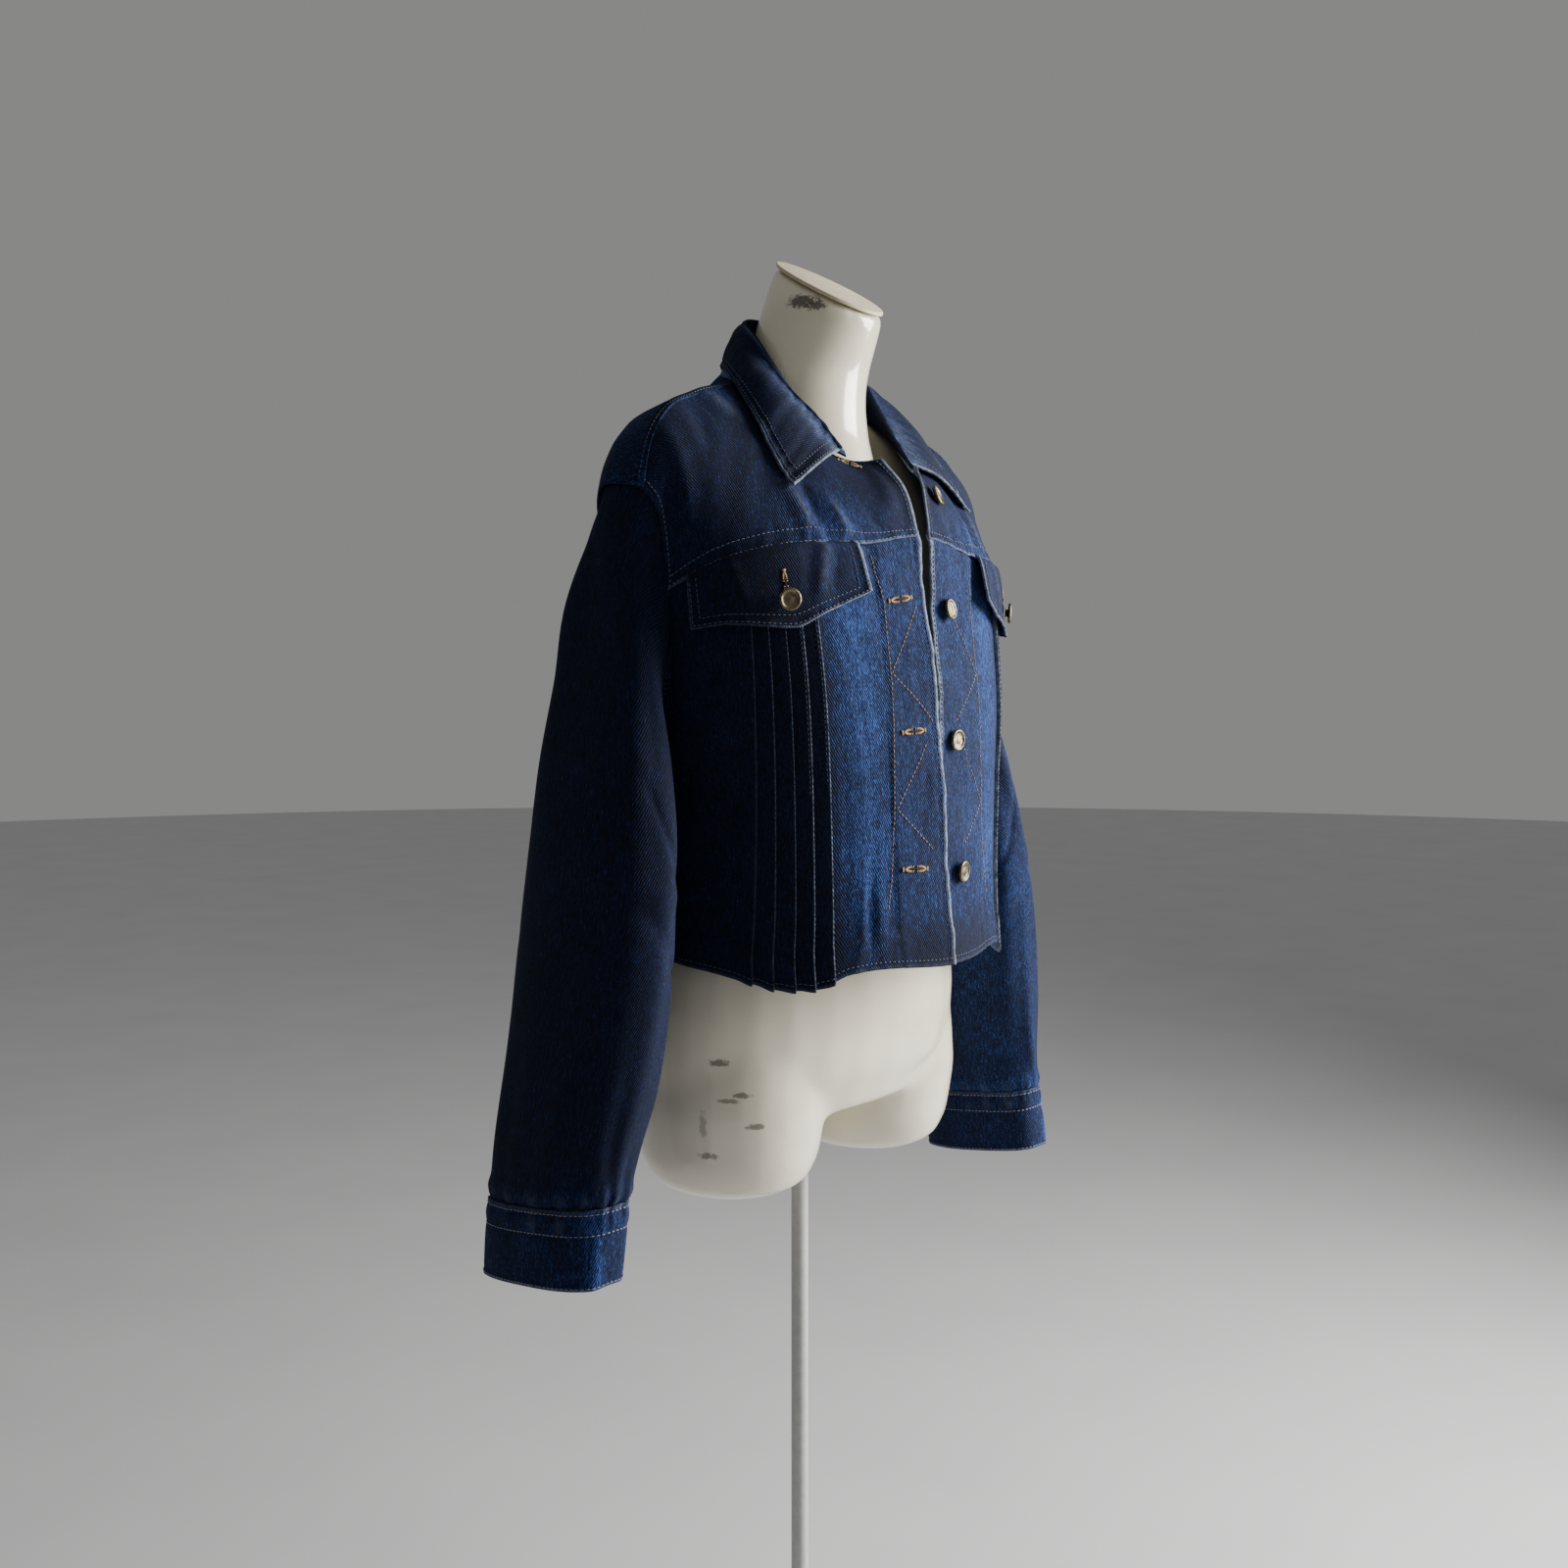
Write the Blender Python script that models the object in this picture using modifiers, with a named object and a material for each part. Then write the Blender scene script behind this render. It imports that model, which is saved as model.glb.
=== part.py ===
"""Cropped denim jacket, unbuttoned, on a limbless torso form with pole and round base.

Metres, +Z up.  The figure faces -Y and its right side is at -X.  The origin is the centre
of the base plate's underside.  Each cloth piece is an open surface with a Solidify wall.
"""
import math

import bmesh
import bpy
import numpy as np
from mathutils import Vector

COLLECTION = "denim_jacket_on_torso_form"

# Driving sizes.
CLOTH = 0.0014          # one layer of denim
DOUBLE_CLOTH = 0.0020   # two layers, as in collar, cuff and flap
SEAM_GAP = 0.0005
SHOULDER_GAP = 0.0009   # to each side of the seam, as the two yokes meet at an angle
YOKE_GAP = 0.0009       # above the front yoke seam, as the yoke leans back from it
PLEAT_STEP = 0.0022
OVERLAP_STEP = 0.0062   # how far the right front stands proud of the left one at its edge
OVERLAP_REACH = 22.0    # degrees over which that step fades out
PLAIN_REACH = (32.0, 34.5)   # degrees at seam and hem where the plain part of a front ends
FLAP_GAP = 0.0012       # between the pleats and the back of a flap
FLAP_SPRING = 0.0030    # how much further a flap's free edge stands off
BUTTON_SEAT = 0.0004
BUTTON_RADIUS = 0.0087
BUTTON_HEIGHT = 0.0050
BUTTON_LINE = 0.016     # how far the buttons sit from the middle of the front
BUTTON_HEIGHTS = (1.026, 1.128, 1.230)
TOP_BUTTON = (0.09, 0.525)   # on the left front yoke, shares across and up
FLAP_BUTTON = (42.5, 1.2325)
SIDE_SEAM = 96.0        # degrees round the body from centre front
BACK_SEAM_Z = 1.285
POLE_RADIUS = 0.007
BASE_RADIUS = 0.175
BASE_THICKNESS = 0.006
CROTCH_Z = 0.836

# Jacket body, outer face: z, half width, depth in front and behind, fullness of the
# corners in front and behind.
BODY = (
    (0.930, 0.172, 0.157, 0.113, 0.010, 0.02),
    (1.000, 0.173, 0.151, 0.112, 0.015, 0.02),
    (1.090, 0.178, 0.146, 0.111, 0.035, 0.02),
    (1.160, 0.185, 0.1415, 0.111, 0.055, 0.02),
    (1.240, 0.1955, 0.131, 0.108, 0.055, 0.01),
    (1.290, 0.206, 0.1255, 0.098, 0.045, 0.00),
    (1.325, 0.220, 0.117, 0.085, 0.030, 0.00),
)

# Heights of the hem and of the front yoke seam, by degrees round the body.
HEM = (
    (-10, 0.9570), (5, 0.9570), (23, 0.9610), (33, 0.9580), (43, 0.9480),
    (50, 0.9480), (60, 0.9530), (72, 0.9610), (96, 0.9700), (180, 0.9750),
)
YOKE_SEAM = ((-10, 1.2860), (3, 1.2860), (21, 1.2765), (37, 1.2730), (52, 1.2640), (75, 1.2400))

# The flap's lower edge: a shallow point under its button.
FLAP_EDGE = ((22.5, 1.2400), (34.0, 1.2235), (42.5, 1.2120), (57.0, 1.2140), (67.0, 1.2105))

# Distance of each front edge from the middle, positive past the middle.
RIGHT_EDGE = ((0.93, -0.005), (1.03, -0.006), (1.20, -0.006), (1.23, -0.008), (1.29, -0.013))
LEFT_EDGE = ((0.93, 0.014), (1.03, 0.013), (1.13, 0.010), (1.23, 0.002), (1.29, -0.008))

# Pleats, from the front outwards: where each folded edge lies at seam and hem, degrees.
PLEATS = ((35.0, 38.0), (38.7, 43.0), (42.6, 48.0), (46.5, 53.5), (50.4, 59.0))

# Armhole, going round the sleeve from the underarm over the front: turn, phi, z.
ARMHOLE = (
    (0, 96.0, 1.130), (30, 83.0, 1.150), (60, 77.5, 1.190), (92, 75.0, 1.240),
    (140, 73.5, 1.297), (160, 78.5, 1.3145), (180, 91.0, 1.3180), (212, 108.5, 1.303),
    (235, 118.0, 1.278), (285, 118.0, 1.205), (325, 109.0, 1.150), (360, 96.0, 1.130),
)
# Turns at which each piece has its corners along the armhole; the sleeve has them all.
FRONT_PANEL_TURNS = (72, 54, 36, 18, 0)
FRONT_YOKE_TURNS = (92, 109, 126, 143, 160)
BACK_YOKE_TURNS = (229, 217, 206, 194, 183, 172, 160)
BACK_PANEL_TURNS = (360, 330, 300, 276, 252, 229)
SLEEVE_TURNS = sorted({*FRONT_PANEL_TURNS, *FRONT_YOKE_TURNS, *BACK_YOKE_TURNS, *BACK_PANEL_TURNS})

# Neckline from the front corner to centre back, then the shoulder seam: x, y, z.
NECKLINE = (
    (0.022, -0.103, 1.347), (0.044, -0.084, 1.346), (0.064, -0.056, 1.364),
    (0.073, -0.026, 1.392), (0.072, 0.002, 1.413), (0.060, 0.032, 1.425),
    (0.033, 0.050, 1.433), (0.0, 0.056, 1.435),
)
NECK_POINT = 4
NECK_COLUMNS = 5        # columns of a yoke that end at the neckline
SHOULDER_SEAM = (
    (0.072, 0.002, 1.413), (0.100, -0.003, 1.4075), (0.140, -0.009, 1.3945),
    (0.176, -0.016, 1.3790), (0.200, -0.021, 1.3520),
)

# Collar, from its front end to centre back.  Fold line: x, y, z.
COLLAR_FOLD = (
    (0.046, -0.0810, 1.3530), (0.050, -0.0600, 1.3800), (0.059, -0.0400, 1.4030),
    (0.063, -0.0200, 1.4290), (0.059, 0.0000, 1.4500), (0.046, 0.0220, 1.4650),
    (0.025, 0.0365, 1.4740), (0.000, 0.0400, 1.4770),
)
# Its outer edge lies on the front yoke (share across, share up), then hangs behind (x, y, z).
COLLAR_ON_YOKE = ((0.480, 0.270), (0.525, 0.450), (0.540, 0.720))
COLLAR_BEHIND = (
    (0.091, -0.004, 1.4150), (0.068, 0.0250, 1.4290), (0.045, 0.0470, 1.4335),
    (0.024, 0.0600, 1.4340), (0.000, 0.0640, 1.4340),
)
LEAF_LIFT = 0.0042      # from the yoke's outer face to the leaf's
NECK_SEAM_GAP = 0.0018  # the collar stands this far above the neckline
COLLAR_COLUMNS = 11     # each side of centre back

# Sleeve below the armhole: outer x and z, inner x and z, front y, back y, fullness,
# and how much higher the ring's front is than its middle.
SLEEVE = (
    (0.2215, 1.262, 0.1885, 1.094, -0.040, 0.056, 0.02, 0.000),
    (0.2285, 1.190, 0.1895, 1.056, -0.052, 0.064, 0.04, 0.000),
    (0.2460, 1.110, 0.1915, 1.012, -0.066, 0.070, 0.05, 0.000),
    (0.2645, 1.005, 0.1955, 0.960, -0.072, 0.073, 0.04, 0.002),
    (0.2770, 0.908, 0.2065, 0.888, -0.068, 0.073, 0.04, 0.005),
    (0.2855, 0.846, 0.2210, 0.840, -0.059, 0.070, 0.05, 0.007),
    (0.2880, 0.806, 0.2310, 0.805, -0.055, 0.068, 0.07, 0.008),
)
CUFF = (
    (0.2885, 0.8050, 0.2305, 0.8045, -0.0555, 0.0685, 0.08, 0.008),
    (0.2905, 0.779, 0.2345, 0.778, -0.0545, 0.0680, 0.10, 0.008),
    (0.2920, 0.753, 0.2385, 0.752, -0.0540, 0.0675, 0.10, 0.008),
)
LEFT_SPLAY = 0.023      # how much wider and lower the left sleeve hangs at its cuff
LEFT_DROP = 0.028

# Torso form without its neck: z, half width, depth in front and behind.
TORSO = (
    (0.836, 0.1400, 0.080, 0.090), (0.870, 0.1600, 0.098, 0.112), (0.920, 0.1640, 0.105, 0.108),
    (0.985, 0.1480, 0.100, 0.090), (1.050, 0.1260, 0.094, 0.078), (1.110, 0.1320, 0.100, 0.080),
    (1.185, 0.1480, 0.116, 0.092), (1.230, 0.1560, 0.108, 0.099), (1.290, 0.1660, 0.086, 0.096),
    (1.330, 0.1720, 0.062, 0.078), (1.355, 0.1710, 0.044, 0.060), (1.376, 0.1620, 0.030, 0.042),
    (1.388, 0.1440, 0.021, 0.030), (1.397, 0.1200, 0.014, 0.022), (1.402, 0.1020, 0.008, 0.014),
)

# Neck: z, half width, depth in front and behind, middle y, rise towards the back.
NECK = (
    (1.340, 0.0600, 0.070, 0.050, 0.000, 0.0), (1.375, 0.0570, 0.058, 0.050, 0.000, 0.0),
    (1.400, 0.0545, 0.053, 0.048, -0.002, 0.0), (1.420, 0.0530, 0.051, 0.047, -0.005, 0.05),
    (1.440, 0.0515, 0.050, 0.047, -0.010, 0.20), (1.466, 0.0490, 0.047, 0.045, -0.020, 0.45),
    (1.494, 0.0450, 0.0445, 0.0445, -0.032, 0.61),
)
CAP_THICKNESS = 0.0035
TALL_STEP = 0.042

# Thigh stub: z, radius across, radius front to back.
THIGH_X = 0.0870
THIGH = (
    (0.776, 0.022, 0.024), (0.778, 0.046, 0.050), (0.786, 0.060, 0.065),
    (0.804, 0.0685, 0.074), (0.845, 0.0735, 0.081), (0.885, 0.0700, 0.080),
    (0.935, 0.0550, 0.062),
)

COLOURS = {
    "denim": ((0.018, 0.040, 0.115), 0.85, 0.0),
    "brass": ((0.250, 0.205, 0.125), 0.35, 1.0),
    "ivory": ((0.760, 0.720, 0.590), 0.25, 0.0),
    "cap": ((0.520, 0.440, 0.300), 0.55, 0.0),
    "steel": ((0.560, 0.560, 0.550), 0.45, 0.6),
}


def clear_scene():
    for old in list(bpy.data.objects):
        bpy.data.objects.remove(old, do_unlink=True)


def surface_material(name):
    colour, roughness, metallic = COLOURS[name]
    material = bpy.data.materials.get(name)
    if material is None:
        material = bpy.data.materials.new(name)
        material.use_nodes = True
        shader = material.node_tree.nodes["Principled BSDF"]
        shader.inputs["Base Color"].default_value = (*colour, 1.0)
        shader.inputs["Roughness"].default_value = roughness
        shader.inputs["Metallic"].default_value = metallic
    return material


def smooth(table, position):
    """Value of a table of rows (key, number...) at a key, on a curve with no overshoot."""
    rows = np.array(table, dtype=float)
    keys = rows[:, 0]
    values = rows[:, 1:]
    position = min(max(position, keys[0]), keys[-1])
    i = min(int(np.searchsorted(keys, position, side="right")) - 1, len(keys) - 2)
    steps = np.diff(values, axis=0) / np.diff(keys)[:, None]
    slopes = np.zeros_like(values)
    slopes[0] = steps[0]
    slopes[-1] = steps[-1]
    for k in range(1, len(keys) - 1):
        same_way = steps[k - 1] * steps[k] > 0
        total = np.where(same_way, steps[k - 1] + steps[k], 1.0)
        slopes[k] = np.where(same_way, 2 * steps[k - 1] * steps[k] / total, 0.0)
    span = keys[i + 1] - keys[i]
    t = (position - keys[i]) / span
    result = (2 * t**3 - 3 * t**2 + 1) * values[i]
    result = result + (t**3 - 2 * t**2 + t) * span * slopes[i]
    result = result + (-2 * t**3 + 3 * t**2) * values[i + 1]
    result = result + (t**3 - t**2) * span * slopes[i + 1]
    return result if len(result) > 1 else float(result[0])


def through(points, t):
    """Point at t (0 to 1) on an even Catmull-Rom curve through the points."""
    points = np.array(points, dtype=float)
    last = len(points) - 1
    place = min(max(t, 0.0), 1.0) * last
    i = min(int(place), last - 1)
    u = place - i
    before = points[i - 1] if i > 0 else 2 * points[0] - points[1]
    after = points[i + 2] if i + 2 <= last else 2 * points[last] - points[last - 1]
    a, b = points[i], points[i + 1]
    bend = 2 * a + (b - before) * u + (2 * before - 5 * a + 4 * b - after) * u**2
    return 0.5 * (bend + (3 * a - before - 3 * b + after) * u**3)


def section(phi, half_width, front, back, full_front=0.0, full_back=0.0):
    """Plan of a round body: phi in degrees from the front, on the +X side."""
    angle = math.radians(phi)
    ahead = math.cos(angle) > 0
    full = 1 + (full_front if ahead else full_back) * math.sin(2 * angle) ** 2
    depth = front if ahead else back
    return np.array((half_width * math.sin(angle) * full, -depth * math.cos(angle) * full))


def body_point(side, phi, z, lift=0.0):
    """Point on the jacket body's outer face, moved out by lift."""
    x, y = section(phi, *smooth(BODY, z))
    ahead = section(phi + 1, *smooth(BODY, z)) - section(phi - 1, *smooth(BODY, z))
    out = np.array((ahead[1], -ahead[0])) / np.linalg.norm(ahead)
    return np.array((side * (x + out[0] * lift), y + out[1] * lift, z))


def edge_phi(side, z):
    """Degrees round the body at which a front edge lies."""
    past_middle = smooth(RIGHT_EDGE if side < 0 else LEFT_EDGE, z)
    return -math.degrees(math.asin(past_middle / smooth(BODY, z)[0]))


def overlap_lift(side, phi):
    """The right front hangs over the left one, so near its edge it stands further out."""
    if side > 0:
        return 0.0
    return OVERLAP_STEP * max(0.0, 1 - max(phi, 0.0) / OVERLAP_REACH) ** 1.5


def armhole_point(side, turn, shift=0.0):
    phi, z = smooth(ARMHOLE, turn)
    return body_point(side, phi, z, shift)


def front_columns(side):
    """Columns of a front panel: degrees at the hem, (degrees, z) at the top, lift."""
    columns = []
    seam_end = smooth(ARMHOLE, FRONT_YOKE_TURNS[0])[0]
    for share in (0.0, 0.25, 0.6, 1.0):
        start_top = edge_phi(side, 1.28)
        start_hem = edge_phi(side, 0.957)
        top = start_top + share * (PLAIN_REACH[0] - start_top)
        hem = start_hem + share * (PLAIN_REACH[1] - start_hem)
        columns.append((hem, top, 0.0))
    for at_top, at_hem in PLEATS:
        columns.append((at_hem - 0.5, at_top - 0.4, 0.0))
        columns.append((at_hem, at_top, PLEAT_STEP))
    armhole_foot = 84.0
    for hem, top in ((64.0, 56.0), (74.0, 65.0), (armhole_foot, seam_end)):
        columns.append((hem, top, 0.0))
    rows = [(hem, top, smooth(YOKE_SEAM, top), lift) for hem, top, lift in columns]
    for turn in FRONT_PANEL_TURNS:
        phi, z = smooth(ARMHOLE, turn)
        hem = SIDE_SEAM - (SIDE_SEAM - armhole_foot) * turn / FRONT_YOKE_TURNS[0]
        rows.append((hem, phi, z, 0.0))
    return rows


def panel_point(side, column, share, drop=0.0):
    """Point of a front panel between hem (share 0) and its top (share 1)."""
    hem_phi, top_phi, top_z, lift = column
    hem_z = smooth(HEM, hem_phi)
    phi = hem_phi + share * (top_phi - hem_phi)
    z = hem_z + share * (top_z - drop - hem_z)
    fade = min(1.0, (1 - share) * 8)
    return body_point(side, phi, z, lift * fade + overlap_lift(side, phi))


def sheet(name, rows, wall, material, flip=False, closed=False):
    """A cloth piece: a grid bent onto rows of points, with its wall behind that face."""
    row_count = len(rows)
    column_count = len(rows[0])
    bm = bmesh.new()
    bmesh.ops.create_grid(
        bm, x_segments=column_count - 1, y_segments=row_count - 1, size=0.5
    )
    for vertex in bm.verts:
        column = round((vertex.co.x + 0.5) * (column_count - 1))
        row = round((vertex.co.y + 0.5) * (row_count - 1))
        vertex.co = Vector([float(value) for value in rows[row][column]])
    if closed:
        bmesh.ops.remove_doubles(bm, verts=bm.verts, dist=0.00001)
    if flip:
        bmesh.ops.reverse_faces(bm, faces=bm.faces)
    mesh = bpy.data.meshes.new(name)
    bm.to_mesh(mesh)
    bm.free()
    mesh.shade_smooth()
    piece = bpy.data.objects.new(name, mesh)
    piece.data.materials.append(surface_material(material))
    solidify = piece.modifiers.new("wall", "SOLIDIFY")
    solidify.thickness = wall
    solidify.offset = -1.0
    collection.objects.link(piece)
    return piece


def side_name(side):
    return "right" if side < 0 else "left"


def coons(bottom, top, start, end, bulge):
    """Patch between four edges: bottom and top run across, start and end run upwards."""
    across = len(bottom) - 1
    up = len(start) - 1
    rows = []
    for j in range(up + 1):
        v = j / up
        row = []
        for i in range(across + 1):
            u = i / across
            point = (1 - v) * bottom[i] + v * top[i] + (1 - u) * start[j] + u * end[j]
            point = point - (1 - u) * (1 - v) * bottom[0] - u * (1 - v) * bottom[-1]
            point = point - (1 - u) * v * top[0] - u * v * top[-1]
            point = point + np.array(bulge) * math.sin(math.pi * u) * math.sin(math.pi * v)
            row.append(point)
        rows.append(row)
    return rows


def mirrored(side, point):
    return np.array((side * point[0], point[1], point[2]))


def front_panel(side):
    columns = front_columns(side)
    shares = (0.0, 0.10, 0.22, 0.36, 0.50, 0.64, 0.78, 0.90, 1.0)
    drop = SEAM_GAP / 2
    rows = []
    for share in shares:
        rows.append([panel_point(side, column, share, drop) for column in columns])
    sheet(f"front_panel_{side_name(side)}", rows, CLOTH, "denim", flip=side < 0)


def back_panel():
    """One piece from side seam to side seam, up to the back yoke seam and the armholes."""
    half = []
    seam_foot = 134.0
    for turn in BACK_PANEL_TURNS:
        phi, z = smooth(ARMHOLE, turn)
        share = (360 - turn) / (360 - BACK_YOKE_TURNS[0])
        half.append((SIDE_SEAM + share * (seam_foot - SIDE_SEAM), phi, z))
    half[0] = (SIDE_SEAM + 0.3, half[0][1] + 0.3, half[0][2])
    junction = half[-1][1]
    for share in (0.17, 0.35, 0.7, 1.0):
        top = junction + share * (180.0 - junction)
        hem = seam_foot + share * (180.0 - seam_foot)
        half.append((hem, top, back_seam_z(share)))
    columns = [(-1, column) for column in half]
    columns = columns + [(1, column) for column in reversed(half[:-1])]
    rows = []
    for share in np.linspace(0.0, 1.0, 9):
        row = []
        for side, (hem, top, top_z) in columns:
            hem_z = smooth(HEM, hem)
            phi = hem + share * (top - hem)
            z = hem_z + share * (top_z - SEAM_GAP / 2 - hem_z)
            row.append(body_point(side, phi, z))
        rows.append(row)
    sheet("back_panel", rows, CLOTH, "denim", flip=True)


def back_seam_z(share):
    """Height of the back yoke seam, from the armhole (share 0) to centre back."""
    low = smooth(ARMHOLE, BACK_YOKE_TURNS[0])[1]
    return low + (BACK_SEAM_Z - low) * min(1.0, share / 0.35)


def front_edge_top(side, share):
    """Front edge above the yoke seam, from the seam to the neckline's front corner."""
    start = body_point(side, edge_phi(side, 1.286), 1.286 + YOKE_GAP, overlap_lift(side, 0))
    corner = mirrored(side, NECKLINE[0])
    middle = (start + corner) / 2 + np.array((side * -0.003, -0.004, 0.004))
    return through((start, middle, corner), share)


def front_yoke_rows(side):
    """Patch of a front yoke, from its seam up to the neckline and the shoulder seam."""
    across = 12
    up = len(FRONT_YOKE_TURNS) - 1
    seam_end = smooth(ARMHOLE, FRONT_YOKE_TURNS[0])[0]
    start_phi = edge_phi(side, 1.286)
    neck = [mirrored(side, point) for point in NECKLINE[: NECK_POINT + 1]]
    shoulder = [mirrored(side, point) for point in SHOULDER_SEAM]
    shoulder.append(armhole_point(side, FRONT_YOKE_TURNS[-1]))
    top = [through(neck, i / NECK_COLUMNS) for i in range(NECK_COLUMNS)]
    rest = across - NECK_COLUMNS
    top = top + [through(shoulder, i / rest) for i in range(rest + 1)]
    bottom = []
    for i in range(across + 1):
        phi = start_phi + (seam_end - start_phi) * i / across
        z = smooth(YOKE_SEAM, phi) + YOKE_GAP
        bottom.append(body_point(side, phi, z, overlap_lift(side, phi)))
    start = [front_edge_top(side, j / up) for j in range(up + 1)]
    end = [armhole_point(side, turn) for turn in FRONT_YOKE_TURNS]
    bottom[-1] = end[0] + np.array((0.0, 0.0, YOKE_GAP))
    end[0] = bottom[-1]
    bottom[0] = start[0]
    top[0] = start[-1]
    top[-1] = end[-1]
    return coons(bottom, top, start, end, (0.0, -0.008, 0.004))


def front_yoke(side):
    rows = front_yoke_rows(side)
    for i in range(NECK_COLUMNS, len(rows[-1])):
        rows[-1][i] = rows[-1][i] + np.array((0.0, -SHOULDER_GAP, 0.0))
    sheet(f"front_yoke_{side_name(side)}", rows, CLOTH, "denim", flip=side < 0)


def back_yoke_half(side):
    """Half of the back yoke, from the armhole end of its seam to centre back."""
    across = 13
    up = len(BACK_YOKE_TURNS) - 1
    seam_phi = smooth(ARMHOLE, BACK_YOKE_TURNS[0])[0]
    bottom = []
    for i in range(across + 1):
        share = i / across
        phi = seam_phi + (180.0 - seam_phi) * share
        bottom.append(body_point(side, phi, back_seam_z(share) + SEAM_GAP / 2))
    shoulder = [mirrored(side, point) for point in SHOULDER_SEAM]
    shoulder.append(armhole_point(side, BACK_YOKE_TURNS[-1]))
    shoulder = [point + np.array((0.0, SHOULDER_GAP, 0.0)) for point in reversed(shoulder)]
    neck = [mirrored(side, point) for point in NECKLINE[NECK_POINT:]]
    rest = across - NECK_COLUMNS
    top = [through(shoulder, i / rest) for i in range(rest + 1)]
    top = top + [through(neck, (i + 1) / NECK_COLUMNS) for i in range(NECK_COLUMNS)]
    start = [armhole_point(side, turn) for turn in BACK_YOKE_TURNS]
    centre = (bottom[-1], np.array((0.0, 0.104, 1.350)), np.array((0.0, 0.082, 1.400)), top[-1])
    end = [through(centre, j / up) for j in range(up + 1)]
    start[0] = bottom[0]
    start[-1] = top[0]
    return coons(bottom, top, start, end, (0.0, 0.007, 0.005))


def back_yoke():
    right = back_yoke_half(-1)
    left = back_yoke_half(1)
    rows = []
    for right_row, left_row in zip(right, left):
        rows.append(right_row + list(reversed(left_row[:-1])))
    sheet("back_yoke", rows, CLOTH, "denim", flip=True)


def sleeve_ring(side, size, turns):
    """Ring of a sleeve section: turn 0 is its inner side, 90 the front, 180 the outer side."""
    outer_x, outer_z, inner_x, inner_z, front, back, fullness, rise = size
    middle = np.array(((outer_x + inner_x) / 2, (front + back) / 2, (outer_z + inner_z) / 2))
    reach = np.array(((outer_x - inner_x) / 2, 0.0, (outer_z - inner_z) / 2))
    ring = []
    for turn in turns:
        angle = math.radians(turn)
        full = 1 + fullness * math.sin(2 * angle) ** 2
        depth = np.array((0.0, (front - back) / 2, 0.0))
        point = middle + full * (depth * math.sin(angle) - reach * math.cos(angle))
        point[2] += rise * math.sin(angle)
        if side > 0:
            hang = (1.13 - point[2]) / (1.13 - CUFF[-1][1])
            point += np.array((LEFT_SPLAY, 0.0, -LEFT_DROP)) * max(0.0, hang)
        ring.append(mirrored(side, point))
    return ring


def sleeve(side):
    around = len(SLEEVE_TURNS) - 1
    start = [armhole_point(side, turn) for turn in SLEEVE_TURNS]
    middle = sum(start[:-1]) / around
    ring = []
    for point in start:
        inwards = (middle - point) / np.linalg.norm(middle - point)
        ring.append(point + inwards * SEAM_GAP * 1.3 + np.array((side * SEAM_GAP, 0.0, 0.0)))
    rings = [ring] + [sleeve_ring(side, size, SLEEVE_TURNS) for size in SLEEVE]
    lengths = 13
    rows = []
    for j in range(lengths + 1):
        share = j / lengths
        rows.append([through([ring[i] for ring in rings], share) for i in range(around + 1)])
    sheet(f"sleeve_{side_name(side)}", rows, CLOTH, "denim", flip=side > 0, closed=True)


def cuff(side):
    rows = [sleeve_ring(side, size, SLEEVE_TURNS) for size in CUFF]
    sheet(f"cuff_{side_name(side)}", rows, DOUBLE_CLOTH, "denim", flip=side > 0, closed=True)


def yoke_place(rows, across, up, lift):
    """Point over a patch, by its shares across and up, moved out by lift."""
    across = across * (len(rows[0]) - 1)
    up = up * (len(rows) - 1)
    i = min(int(across), len(rows[0]) - 2)
    j = min(int(up), len(rows) - 2)
    a = across - i
    b = up - j
    low = (1 - a) * rows[j][i] + a * rows[j][i + 1]
    high = (1 - a) * rows[j + 1][i] + a * rows[j + 1][i + 1]
    outward = np.cross(rows[j][i + 1] - rows[j][i], rows[j + 1][i] - rows[j][i])
    outward = outward / np.linalg.norm(outward)
    return (1 - b) * low + b * high + outward * lift, outward


def collar():
    """One piece: a low stand up to the fold, then the leaf lying on the yokes."""
    half = COLLAR_COLUMNS
    yoke = front_yoke_rows(1)
    edges = [yoke_place(yoke, across, up, LEAF_LIFT) for across, up in COLLAR_ON_YOKE]
    behind = np.array((0.0, 0.35, 0.94))
    edges = edges + [(np.array(point), behind) for point in COLLAR_BEHIND]
    ends = []
    for i in range(half + 1):
        share = i / half
        fold = through(COLLAR_FOLD, share)
        edge = through([place for place, _ in edges], share)
        outward = through([direction for _, direction in edges], share)
        neck = through(NECKLINE[1:], share) + np.array((0.0, 0.0, NECK_SEAM_GAP))
        ends.append((neck, fold, edge, outward))
    rows = [[], [], [], [], [], [], [], []]
    order = [(-1, i) for i in range(half + 1)] + [(1, i) for i in range(half - 1, -1, -1)]
    for side, i in order:
        neck, fold, edge, outward = ends[i]
        away = edge - fold
        away[2] = 0.0
        away = away / np.linalg.norm(away)
        roll = 0.0030
        inner = fold - away * roll
        outer = fold + away * roll
        crest = fold + np.array((0.0, 0.0, 0.0022))
        column = (
            neck,
            (neck + inner) / 2,
            inner,
            crest,
            outer,
            (2 * outer + edge) / 3 + outward * 0.0060,
            (outer + 2 * edge) / 3 + outward * 0.0045,
            edge,
        )
        for row, point in zip(rows, column):
            row.append(mirrored(side, point))
    sheet("collar", rows, DOUBLE_CLOTH, "denim")


def flap_outline(phi):
    """Height of the flap's lower edge at a place round the body."""
    return smooth(FLAP_EDGE, phi)


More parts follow.
